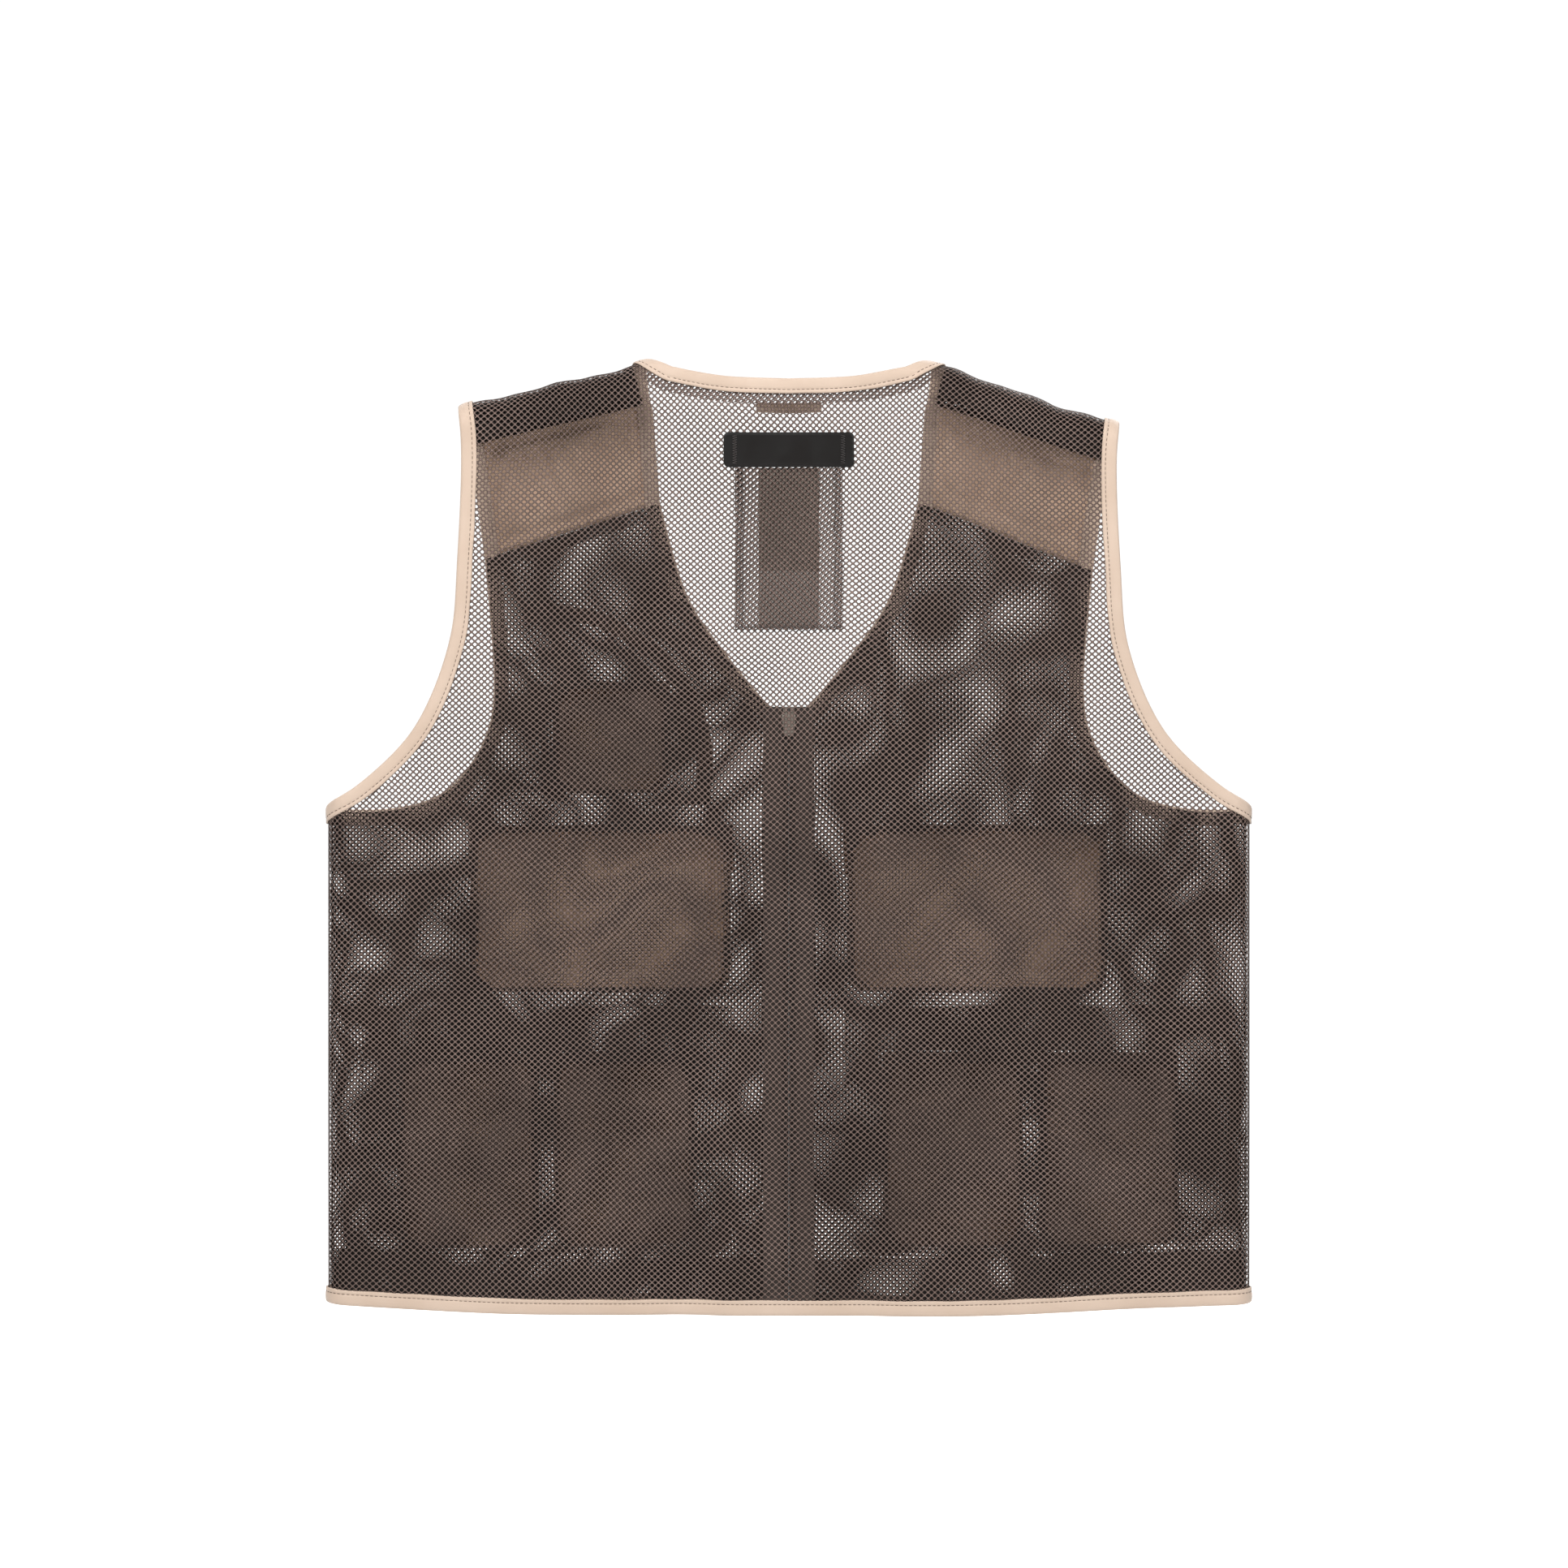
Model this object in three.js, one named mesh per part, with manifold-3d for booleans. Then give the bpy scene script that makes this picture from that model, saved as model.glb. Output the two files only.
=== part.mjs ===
// A fishing vest: a see-through mesh body with tan bound edges, a front zip and layered pockets.
// Millimetres, +Z up. The front faces -Y and the wearer's left is +X.
// The origin is the hang loop at the centre of the back neck.
// A cloth piece is drawn flat, as (across, up), and the body then folds it round the trunk
// and over the shoulder. Heights above a panel's middle are called levels.
import * as THREE from 'three';
import { mergeVertices } from 'three/addons/utils/BufferGeometryUtils.js';
import Module from 'manifold-3d';

const wasm = await Module();
wasm.setup();

// ---- Overall sizes
const CHEST_WIDTH = 612;
const BODY_LENGTH = 603; // origin down to the hem at the centre
const HEM_RISE = 7; // the hem is this much higher at the sides
const HALF_DEPTH = 15; // middle plane to the front or back panel
const NECK_HALF = 96;
const SHOULDER_HALF = 216;
const SHOULDER_TOP = 28; // ridge of the shoulder, at the neck
const SHOULDER_SLOPE = 0.275;
const NECK_DIP = 15; // height of the back neck edge at the centre
const UNDERARM = -269; // height of the armhole's lowest point
const SEAM_DROP = 6; // shoulder seam, below the roll on the front

// ---- Cloth and edges
const CLOTH = 1.2;
const GAP = 0.3; // between pieces that touch
const BINDING_WIDTH = 9;
const BINDING_CLOTH = 0.9;

// ---- Front opening and yoke
const NECK_POINT = -209; // foot of the V neck
const ZIP_EDGE = 6.5; // front edge of a panel, from the centre
const YOKE_NECK = -64; // yoke seam, at the neck edge
const YOKE_ARM = -104; // yoke seam, at the armhole

// ---- Zip
const TAPE_WIDTH = 13;
const TAPE_CLOTH = 0.8;
const TAPE_RISE = 9; // tape and stop above the foot of the V neck
const CHAIN_GAP = 1.8; // room for the slider's post
const CHAIN_WIDTH = 2.2;
const CHAIN_DEPTH = 2.6;
const TOOTH_PITCH = 8;
const TOOTH_REACH = 0.7;
const TOOTH_SLOPE = 0.4; // the tip of a tooth is this much shorter on each side
const STOP_HEIGHT = 4;
const RETAINER_HEIGHT = 11;
const RETAINER_PROUD = 0.6; // beyond the teeth, at the front and the back
const SLIDER_LENGTH = 15;
const SLIDER_HALF = 4.8;
const SLIDER_PLATE = 1.4;
const SLIDER_CLEARANCE = 0.6;
const POST_WIDTH = 1.2;
const POST_LENGTH = 5;
const CROWN_WIDTH = 3;
const CROWN_BAR = 1.5;
const CROWN_ROOM = 2.6; // under the crown, for the pull's bar
const CROWN_INSET = 1; // below the top of the slider
const CROWN_FOOT = -3; // from the middle of the slider
const CROWN_CLEARANCE = 0.6; // crown to the sides of the pull's window
const CROWN_STRAP = 1; // thickness of the crown over the pull's bar
const PULL_LENGTH = 24;
const PULL_WIDTH = 8.4;
const PULL_PLATE = 1.4;
const PULL_BAR = 2;
const PULL_WINDOW = 6.4;
const PULL_DROP = 2.2; // the pull's pivot, below the crown's upper leg

// ---- Pockets
const POCKET_WALL = 1.2;
const CHEST_POCKET_INNER = 53; // edge by the zip, from the centre
const CHEST_POCKET_WIDTH = 113;
const CHEST_POCKET_HEIGHT = 133;
const CHEST_POCKET_DEPTH = 8;
const CHEST_POUCH_REACH = 87; // the pouch and the bound edge beside it
const CHEST_POUCH_HEIGHT = 74;
const CHEST_POUCH_MARGIN = 8;
const POUCH_DEPTH = 9;
const MID_POCKET_INNER = 39;
const MID_POCKET_WIDTH = 174;
const MID_POCKET_HEIGHT = 110;
const MID_POCKET_DEPTH = 18;
const FLAP_HEIGHT = 40;
const FLAP_OVERHANG = 2;
const PATCH_WIDTH = 56;
const PATCH_HEIGHT = 16;
const PATCH_CLOTH = 0.8;
const PATCH_INSET = 4; // above the flap's lower edge
const LOWER_POCKET_INNER = 37;
const LOWER_POCKET_SIDE = 18; // lower pocket to the side fold
const LOWER_POCKET_DEPTH = 12;
const LOWER_POCKET_ABOVE_HEM = 36;
const LOWER_BAND_HEIGHT = 30;
const LOWER_POUCH_GAP = 10;
const LOWER_POUCH_MARGIN = 26;
const LOWER_POUCH_FOOT = 5;
const LOWER_POUCH_HEAD = 3; // below the band
const POCKET_SPACING = 10; // between one row of pockets and the next
const CORNER = 14;

// ---- Back details
const LABEL_WIDTH = 86;
const LABEL_HEIGHT = 23;
const LABEL_TOP = -19.5;
const LABEL_CLOTH = 1;
const STRIP_WIDTH = 71;
const STRIP_HEIGHT = 107;
const CARE_WIDTH = 40;
const CARE_HEIGHT = 106;
const CARE_SHORT_HEIGHT = 68;
const CARE_CLOTH = 0.8;
const LOOP_WIDTH = 45;
const LOOP_HEIGHT = 7;
const LOOP_BULGE = 8;
const LOOP_CLOTH = 1;
const LOOP_TOP = 1;

// ---- Smoothness
const CURVE_STEPS = 3;
const SIDE_FACETS = 4;
const ROLL_FACETS = 6;

// ---- Levels worked out from the sizes
const ON_PANEL = CLOTH / 2 + GAP;
const BINDING_OUT = ON_PANEL + BINDING_CLOTH;
const TAPE_TOP = -BINDING_OUT - GAP;
const CHAIN_MIDDLE = TAPE_TOP - TAPE_CLOTH / 2;
const halfWidth = CHEST_WIDTH / 2;
const hemCentre = -BODY_LENGTH;

const tan = { color: '#e3c6a8', roughness: 0.9 };
const mesh = { color: '#5f5552', roughness: 0.85 };
const satin = { color: '#2d2928', roughness: 0.45 };
const care = { color: '#b5ae9f', roughness: 0.5 };
const tape = { color: '#3a3432', roughness: 0.9 };
const plastic = { color: '#211e1d', roughness: 0.5 };
const metal = { color: '#8b8770', roughness: 0.4, metalness: 0.8 };

// ---- Folded sections: a line of straight facets with the mitred way out at each fold
function foldedSection(points, start) {
  const sides = points.slice(1).map((point, i) => point.clone().sub(points[i]));
  const outs = sides.map((side) => new THREE.Vector2(-side.y, side.x).normalize());
  const mitres = points.map((_, i) => {
    const before = outs[Math.max(i - 1, 0)];
    const after = outs[Math.min(i, outs.length - 1)];
    return before.clone().add(after).divideScalar(1 + before.dot(after));
  });
  const lengths = [start];
  sides.forEach((side, i) => lengths.push(lengths[i] + side.length()));
  return { points, mitres, lengths };
}

function onSection(section, length, level) {
  const { points, mitres, lengths } = section;
  let i = 0;
  while (i < lengths.length - 2 && length > lengths[i + 1]) {
    i += 1;
  }
  const share = (length - lengths[i]) / (lengths[i + 1] - lengths[i]);
  const point = points[i].clone().lerp(points[i + 1], share);
  const out = mitres[i].clone().lerp(mitres[i + 1], share);
  return point.addScaledVector(out, level);
}

function arcPoints(centre, facet, facets) {
  return Array.from({ length: facets }, (_, i) => {
    const turn = THREE.MathUtils.degToRad(facet * (i + 1));
    return new THREE.Vector2(centre + HALF_DEPTH * Math.sin(turn), HALF_DEPTH * Math.cos(turn));
  });
}

// The trunk, seen from above, from the centre of the back to the side fold and one facet on.
const trunkFlat = halfWidth - HALF_DEPTH;
const trunk = foldedSection(
  [
    new THREE.Vector2(0, HALF_DEPTH),
    new THREE.Vector2(trunkFlat, HALF_DEPTH),
    ...arcPoints(trunkFlat, 90 / SIDE_FACETS, SIDE_FACETS + 1),
  ],
  0,
);
const sideSeam = trunk.lengths.at(-2) - GAP / 2;

// The shoulder roll, seen along the shoulder, from the back over the top and down the front.
const roll = foldedSection(
  [
    new THREE.Vector2(-HALF_DEPTH, HALF_DEPTH),
    new THREE.Vector2(0, HALF_DEPTH),
    ...arcPoints(0, 180 / ROLL_FACETS, ROLL_FACETS),
    new THREE.Vector2(-SEAM_DROP / 2, -HALF_DEPTH),
    new THREE.Vector2(-2 * SEAM_DROP, -HALF_DEPTH),
  ],
  -HALF_DEPTH,
);
const rollEnd = roll.lengths.at(-2) + SEAM_DROP / 2;
const shoulderAngle = Math.atan(SHOULDER_SLOPE);
const shoulderUp = new THREE.Vector2(Math.sin(shoulderAngle), Math.cos(shoulderAngle));
const springAtNeck = SHOULDER_TOP - HALF_DEPTH / Math.cos(shoulderAngle);

function springHeight(across) {
  return springAtNeck - SHOULDER_SLOPE * (across - NECK_HALF);
}

function springPoint(across, rise) {
  return new THREE.Vector2(across, springHeight(across)).addScaledVector(shoulderUp, rise);
}

// ---- Where a flat point of a panel lies on the vest
function placeBack([across, up, level]) {
  const side = Math.sign(across) || 1;
  const reach = Math.abs(across);
  const rise = (up - springHeight(reach)) * shoulderUp.y;
  if (rise <= 0) {
    const spot = onSection(trunk, reach, level);
    return [side * spot.x, spot.y, up];
  }
  const spot = onSection(roll, rise, level);
  const slid = new THREE.Vector2(reach, up).addScaledVector(shoulderUp, spot.x - rise);
  return [side * slid.x, spot.y, slid.y];
}

function placeFront(side) {
  return ([across, up, level]) => {
    const spot = onSection(trunk, across, level);
    return [side * spot.x, -spot.y, up];
  };
}

// ---- Solids as lists of points and triangles, while they are folded
function solidOf(geometry) {
  const bare = geometry.clone();
  bare.deleteAttribute('normal');
  bare.deleteAttribute('uv');
  const merged = mergeVertices(bare, 1e-4);
  const position = merged.attributes.position;
  const points = Array.from({ length: position.count }, (_, i) => [
    position.getX(i),
    position.getY(i),
    position.getZ(i),
  ]);
  const index = Array.from(merged.index.array);
  const faces = Array.from({ length: index.length / 3 }, (_, i) => index.slice(3 * i, 3 * i + 3));
  return { points, faces };
}

function geometryOf({ points, faces }) {
  const corner = (i) => new THREE.Vector3(...points[i]);
  const volume = faces.reduce((sum, [a, b, c]) => sum + corner(a).cross(corner(b)).dot(corner(c)), 0);
  const turned = volume < 0 ? faces.map(([a, b, c]) => [a, c, b]) : faces;
  const geometry = new THREE.BufferGeometry();
  geometry.setAttribute('position', new THREE.Float32BufferAttribute(points.flat(), 3));
  geometry.setIndex(turned.flat());
  geometry.computeVertexNormals();
  return geometry;
}

// Splits every triangle that crosses the line where distance(point) is 0.
function crease({ points, faces }, distance) {
  const reach = points.map((point) => {
    const value = distance(point);
    return Math.abs(value) < 1e-3 ? 0 : value;
  });
  const crossings = new Map();
  const crossing = (a, b) => {
    const key = a < b ? `${a}_${b}` : `${b}_${a}`;
    if (!crossings.has(key)) {
      const share = reach[a] / (reach[a] - reach[b]);
      points.push(points[a].map((value, i) => value + share * (points[b][i] - value)));
      crossings.set(key, points.length - 1);
    }
    return crossings.get(key);
  };
  const part = (face, way) => {
    const kept = face.flatMap((a, i) => {
      const b = face[(i + 1) % 3];
      const own = way * reach[a] >= 0 ? [a] : [];
      return reach[a] * reach[b] < 0 ? [...own, crossing(a, b)] : own;
    });
    return kept.slice(2).map((last, i) => [kept[0], kept[i + 1], last]);
  };
  const split = faces.flatMap((face) => {
    const ways = face.map((i) => Math.sign(reach[i]));
    const crosses = ways.includes(1) && ways.includes(-1);
    return crosses ? [...part(face, 1), ...part(face, -1)] : [face];
  });
  return { points, faces: split };
}

function fold(flat, place) {
  let solid = flat;
  for (const length of trunk.lengths.slice(1, -2)) {
    solid = crease(solid, ([across]) => across - length);
    solid = crease(solid, ([across]) => across + length);
  }
  if (place === placeBack) {
    for (const length of roll.lengths.slice(1, -1)) {
      for (const side of [1, -1]) {
        solid = crease(solid, ([across, up]) => {
          return (up - springHeight(side * across)) * shoulderUp.y - length;
        });
      }
    }
  }
  return geometryOf({ points: solid.points.map(place), faces: solid.faces });
}

// ---- Outlines
const point = (across, up) => new THREE.Vector2(across, up);
const curve = (...points) => new THREE.SplineCurve(points).getPoints(CURVE_STEPS * points.length);
const mirrored = (points) => points.map(({ x, y }) => point(-x, y)).reverse();

function hemHeight(across) {
  const share = Math.min(across / sideSeam, 1);
  return hemCentre + BINDING_CLOTH + GAP + HEM_RISE * share * share;
}

function hemLine(from) {
  const steps = 6;
  return Array.from({ length: steps + 1 }, (_, i) => {
    const across = from + ((sideSeam - from) * i) / steps;
    return point(across, hemHeight(across));
  });
}

// Points between the shoulder and the side fold, as a share of the way out and a height.
const armWidth = sideSeam - SHOULDER_HALF;
const armPoint = (share, up) => point(SHOULDER_HALF + share * armWidth, up);

const backNeck = [
  ...curve(point(0, NECK_DIP), point(0.46 * NECK_HALF, NECK_DIP + 2), springPoint(0.8 * NECK_HALF, 6)),
  ...curve(
    springPoint(0.8 * NECK_HALF, 6),
    springPoint(0.94 * NECK_HALF, 24),
    springPoint(NECK_HALF, rollEnd),
  ).slice(1),
];
const backArm = curve(
  springPoint(SHOULDER_HALF, rollEnd),
  springPoint(SHOULDER_HALF, 0),
  armPoint(0.02, 0.4 * UNDERARM),
  armPoint(0.08, 0.6 * UNDERARM),
  armPoint(0.31, 0.8 * UNDERARM),
  armPoint(0.69, 0.94 * UNDERARM),
  armPoint(1, UNDERARM),
);

// The front meets the back at the shoulder seam, a gap below it, and leaves it squarely.
const seamPoint = (across, drop = 0) => springPoint(across, -SEAM_DROP - GAP - drop);
const yokeNeckEnd = point(0.91 * NECK_HALF, YOKE_NECK);
const yokeArmEnd = point(SHOULDER_HALF - 14, YOKE_ARM);
const yokeNeck = [
  seamPoint(NECK_HALF),
  ...curve(seamPoint(NECK_HALF, BINDING_WIDTH), point(0.935 * NECK_HALF, 0.5 * YOKE_NECK), yokeNeckEnd),
];
const yokeArm = [
  seamPoint(SHOULDER_HALF),
  ...curve(seamPoint(SHOULDER_HALF, BINDING_WIDTH), point(SHOULDER_HALF - 9, 0.65 * YOKE_ARM), yokeArmEnd),
];
const frontNeck = curve(
  yokeNeckEnd,
  point(0.72 * NECK_HALF, 0.6 * NECK_POINT),
  point(0.43 * NECK_HALF, 0.8 * NECK_POINT),
  point(ZIP_EDGE, NECK_POINT),
);
const frontArm = curve(
  yokeArmEnd,
  point(SHOULDER_HALF - 20, 0.68 * UNDERARM),
  point(SHOULDER_HALF - 13, 0.83 * UNDERARM),
  armPoint(0.13, 0.955 * UNDERARM),
  armPoint(0.5, UNDERARM),
  armPoint(1, UNDERARM),
);
const below = ({ x, y }) => point(x, y - GAP);

// ---- Makers of flat pieces
function sheet(outline, level, thickness, place) {
  const shape = new THREE.Shape(outline);
  const flat = new THREE.ExtrudeGeometry(shape, { depth: thickness, bevelEnabled: false });
  return fold(solidOf(flat.translate(0, 0, level)), place);
}

// A folded strip that holds the edge of a panel in its channel. The panel is on the left
// of the line, as one walks along it, and each end is cut square to its own direction.
function binding(line, place, { first, last: final, level = 0 } = {}) {
  const outer = BINDING_OUT;
  const inner = ON_PANEL;
  const web = -GAP - BINDING_CLOTH;
  const channel = [
    [web, outer],
    [web, -outer],
    [BINDING_WIDTH, -outer],
    [BINDING_WIDTH, -inner],
    [-GAP, -inner],
    [-GAP, inner],
    [BINDING_WIDTH, inner],
    [BINDING_WIDTH, outer],
  ];
  const points = [];
  line.forEach((spot, i) => {
    const ahead = line[Math.min(i + 1, line.length - 1)];
    const behind = line[Math.max(i - 1, 0)];
    const chosen = (i === 0 && first) || (i === line.length - 1 && final);
    const along = chosen || ahead.clone().sub(behind).normalize();
    for (const [inward, height] of channel) {
      points.push([spot.x - along.y * inward, spot.y + along.x * inward, level + height]);
    }
  });
  const count = channel.length;
  const lid = THREE.ShapeUtils.triangulateShape(channel.map(([x, y]) => point(x, y)), []);
  const last = count * (line.length - 1);
  const faces = [...lid.map(([a, b, c]) => [c, b, a]), ...lid.map((face) => face.map((i) => last + i))];
  for (let ring = 0; ring < last; ring += count) {
    for (let i = 0; i < count; i += 1) {
      const next = (i + 1) % count;
      faces.push([ring + i, ring + next, ring + count + next]);
      faces.push([ring + i, ring + count + next, ring + count + i]);
    }
  }
  return fold({ points, faces }, place);
}

// ---- Makers of built-up pieces, drawn as (across, up, level) and then laid on the front
function manifoldOf(geometry) {
  const { points, faces } = solidOf(geometry);
  const mesh = new wasm.Mesh({
    numProp: 3,
    vertProperties: new Float32Array(points.flat()),
    triVerts: new Uint32Array(faces.flat()),
  });
  return new wasm.Manifold(mesh);
}

function geometryFrom(manifold) {
  const { vertProperties, triVerts } = manifold.getMesh();
  const geometry = new THREE.BufferGeometry();
  geometry.setAttribute('position', new THREE.Float32BufferAttribute(vertProperties, 3));
  geometry.setIndex(Array.from(triVerts));
  return geometry;
}

const join = (...parts) => geometryFrom(parts.map(manifoldOf).reduce((whole, part) => whole.add(part)));
const cut = (whole, ...tools) =>
  geometryFrom(tools.map(manifoldOf).reduce((left, tool) => left.subtract(tool), manifoldOf(whole)));

function block([left, right], [low, high], [near, far]) {
  const box = new THREE.BoxGeometry(right - left, high - low, far - near);
  return box.translate((left + right) / 2, (low + high) / 2, (near + far) / 2);
}

function plate(outline, near, far) {
  const shape = new THREE.Shape(outline);
  const options = { depth: far - near, bevelEnabled: false };
  return new THREE.ExtrudeGeometry(shape, options).translate(0, 0, near);
}

// A rectangle with its two lower corners rounded.
function roundFoot(left, right, low, high, radius) {
  const shape = new THREE.Shape();
  shape.moveTo(right, high);
  shape.lineTo(left, high);
  shape.absarc(left + radius, low + radius, radius, Math.PI, 1.5 * Math.PI);
  shape.absarc(right - radius, low + radius, radius, 1.5 * Math.PI, 2 * Math.PI);
  return shape.getPoints(3).filter((spot, i, all) => i === 0 || spot.distanceTo(all[i - 1]) > 0.01);
}

// A pocket is a tray with its back open on the panel and its top open to the hand.
function roundPocket({ left, right, low, high }, near, depth) {
  const outside = plate(roundFoot(left, right, low, high, CORNER), near, near + depth);
  const hollow = roundFoot(
    left + POCKET_WALL,
    right - POCKET_WALL,
    low + POCKET_WALL,
    high + POCKET_WALL,
    CORNER - POCKET_WALL,
  );
  return cut(outside, plate(hollow, near - 1, near + depth - POCKET_WALL));
}

function layOnFront(geometry, side) {
  const { points, faces } = solidOf(geometry);
  const laid = points.map(([across, up, level]) => [side * across, -HALF_DEPTH - level, up]);
  return geometryOf({ points: laid, faces });
}

// The same turn without the move to the panel, for pieces drawn round their own pivot.
function turnToFront(geometry, side) {
  const { points, faces } = solidOf(geometry);
  const turned = points.map(([across, up, level]) => [side * across, -level, up]);
  return geometryOf({ points: turned, faces });
}

const pivotOnFront = (up, level) => new THREE.Vector3(0, -HALF_DEPTH - level, up);

// ---- The scene
function named(name, geometry, looks) {
  const piece = new THREE.Mesh(geometry, new THREE.MeshStandardMaterial(looks));
  piece.name = name;
  return piece;
}

const vest = new THREE.Group();
vest.add(makeBack());
vest.add(makeFront(1, 'left'));
vest.add(makeFront(-1, 'right'));
vest.add(makeSlider());

// ---- Back: one panel that rolls over both shoulders, its bindings and what is sewn on it
function makeBack() {
  const back = new THREE.Group();
  const half = [...backNeck, ...backArm, ...hemLine(0).reverse()];
  const outline = [...half, ...mirrored(half).slice(1, -1)];
  back.add(named('back_panel', sheet(outline, -CLOTH / 2, CLOTH, placeBack), mesh));

  const neckLine = [...mirrored(backNeck), ...backNeck.slice(1)].reverse();
  const neckEnds = { first: point(-shoulderUp.x, -shoulderUp.y), last: point(-shoulderUp.x, shoulderUp.y) };
  back.add(named('back_neck_binding', binding(neckLine, placeBack, neckEnds), tan));
  const armLine = [...backArm].reverse();
  const leftEnds = { first: point(-1, 0), last: shoulderUp };
  back.add(named('back_armhole_binding_left', binding(armLine, placeBack, leftEnds), tan));
  const rightEnds = { first: point(shoulderUp.x, -shoulderUp.y), last: point(-1, 0) };
  back.add(named('back_armhole_binding_right', binding(mirrored(armLine), placeBack, rightEnds), tan));
  const hem = [...mirrored(hemLine(0)), ...hemLine(0).slice(1)];
  const hemEnds = { first: point(1, 0), last: point(1, 0) };
  back.add(named('back_hem_binding', binding(hem, placeBack, hemEnds), tan));

  const label = backPlate(LABEL_WIDTH, LABEL_TOP, LABEL_HEIGHT, ON_PANEL, LABEL_CLOTH);
  back.add(named('neck_label', label, satin));
  const stripTop = LABEL_TOP - LABEL_HEIGHT - GAP;
  back.add(named('back_strip', backPlate(STRIP_WIDTH, stripTop, STRIP_HEIGHT, ON_PANEL, CLOTH), mesh));
  const longLevel = -ON_PANEL - CARE_CLOTH;
  const longLeaf = backPlate(CARE_WIDTH, stripTop, CARE_HEIGHT, longLevel, CARE_CLOTH);
  back.add(named('care_label_long', longLeaf, care));
  const shortLevel = longLevel - GAP - CARE_CLOTH;
  const shortLeaf = backPlate(CARE_WIDTH, stripTop, CARE_SHORT_HEIGHT, shortLevel, CARE_CLOTH);
  back.add(named('care_label_short', shortLeaf, care));
  back.add(named('hang_loop', hangLoop(), tan));
  return back;
}

function backPlate(width, top, height, level, thickness) {
  const { points, faces } = solidOf(
    block([-width / 2, width / 2], [top - height, top], [level, level + thickness]),
  );
  return geometryOf({ points: points.map(placeBack), faces });
}

// A tape that bows away from the inside of the back neck, so that a hook goes through.
function hangLoop() {
  const wall = HALF_DEPTH - BINDING_OUT - GAP;
  const bow = (reach, depth) => curve(point(-reach, wall), point(0, wall - depth), point(reach, wall));
  const outside = bow(LOOP_WIDTH / 2, LOOP_BULGE);
  const inside = bow(LOOP_WIDTH / 2 - 3 * LOOP_CLOTH, LOOP_BULGE - LOOP_CLOTH).reverse();
  const shape = new THREE.Shape([...outside, ...inside]);
  const bar = new THREE.ExtrudeGeometry(shape, { depth: LOOP_HEIGHT, bevelEnabled: false });
  return geometryOf(solidOf(bar.translate(0, 0, LOOP_TOP - LOOP_HEIGHT)));
}

// ---- Fronts: panel, yoke, edges, half a zip and the pockets of one side
function makeFront(side, word) {
  const front = new THREE.Group();
  const place = placeFront(side);
  const panel = [...frontNeck.map(below), ...hemLine(ZIP_EDGE), ...frontArm.map(below).reverse()];
  front.add(named(`front_panel_${word}`, sheet(panel, -CLOTH / 2, CLOTH, place), mesh));
  const yoke = [...yokeNeck, ...[...yokeArm].reverse()];
  front.add(named(`yoke_${word}`, sheet(yoke, -CLOTH / 2, CLOTH, place), tan));

  const neckLine = [...yokeNeck, ...frontNeck.slice(1)];
  const armLine = [...yokeArm, ...frontArm.slice(1)].reverse();
  const intoSeam = shoulderUp.clone().negate();
  const neckBinding = binding(neckLine, place, { first: intoSeam });
  const armBinding = binding(armLine, place, { first: point(-1, 0), last: shoulderUp });
  const hemBinding = binding(hemLine(ZIP_EDGE), place, { first: point(1, 0), last: point(1, 0) });
  front.add(named(`front_neck_binding_${word}`, neckBinding, tan));
  front.add(named(`front_armhole_binding_${word}`, armBinding, tan));
  front.add(named(`front_hem_binding_${word}`, hemBinding, tan));

  addZipHalf(front, side, word);
  addMidPocket(front, side, word);
  addLowerPocket(front, side, word);
  if (word === 'left') {
    addChestPocket(front, side);
  }
  return front;
}

// ---- Zip
function addZipHalf(front, side, word) {
  const top = NECK_POINT + TAPE_RISE;
  const tapeFoot = hemCentre + BINDING_WIDTH;
  const chainEdge = CHAIN_GAP / 2 + TOOTH_REACH;
  const tapeEdge = chainEdge + CHAIN_WIDTH + GAP;
  const tapeShape = block(
    [tapeEdge, tapeEdge + TAPE_WIDTH],
    [tapeFoot, top],
    [TAPE_TOP - TAPE_CLOTH, TAPE_TOP],
  );
  front.add(named(`zip_tape_${word}`, layOnFront(tapeShape, side), tape));

  const near = CHAIN_MIDDLE - CHAIN_DEPTH / 2;
  const far = CHAIN_MIDDLE + CHAIN_DEPTH / 2;
  const stop = block([CHAIN_GAP / 2, chainEdge + CHAIN_WIDTH], [top - STOP_HEIGHT, top], [near, far]);
  front.add(named(`zip_top_stop_${word}`, layOnFront(stop, side), metal));

  const chainTop = top - STOP_HEIGHT - GAP;
  const chainFoot = tapeFoot + RETAINER_HEIGHT + GAP;
  const comb = [point(chainEdge + CHAIN_WIDTH, chainTop), point(chainEdge, chainTop)];
  const start = chainTop - (side > 0 ? 0 : TOOTH_PITCH / 2);
  for (let up = start; up - TOOTH_PITCH > chainFoot; up -= TOOTH_PITCH) {
    const foot = up - TOOTH_PITCH / 2;
    comb.push(point(chainEdge, up - TOOTH_SLOPE), point(CHAIN_GAP / 2, up - 2 * TOOTH_SLOPE));
    comb.push(point(CHAIN_GAP / 2, foot), point(chainEdge, foot - TOOTH_SLOPE));
  }
  comb.push(point(chainEdge, chainFoot), point(chainEdge + CHAIN_WIDTH, chainFoot));
  front.add(named(`zip_teeth_${word}`, layOnFront(plate(comb, near, far), side), plastic));

  const foothold = word === 'left' ? 'zip_retainer_box' : 'zip_insert_pin';
  const box = block(
    [GAP / 2, chainEdge + CHAIN_WIDTH],
    [tapeFoot, tapeFoot + RETAINER_HEIGHT],
    [near - RETAINER_PROUD, far + RETAINER_PROUD],
  );
  front.add(named(foothold, layOnFront(box, side), plastic));
}

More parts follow.
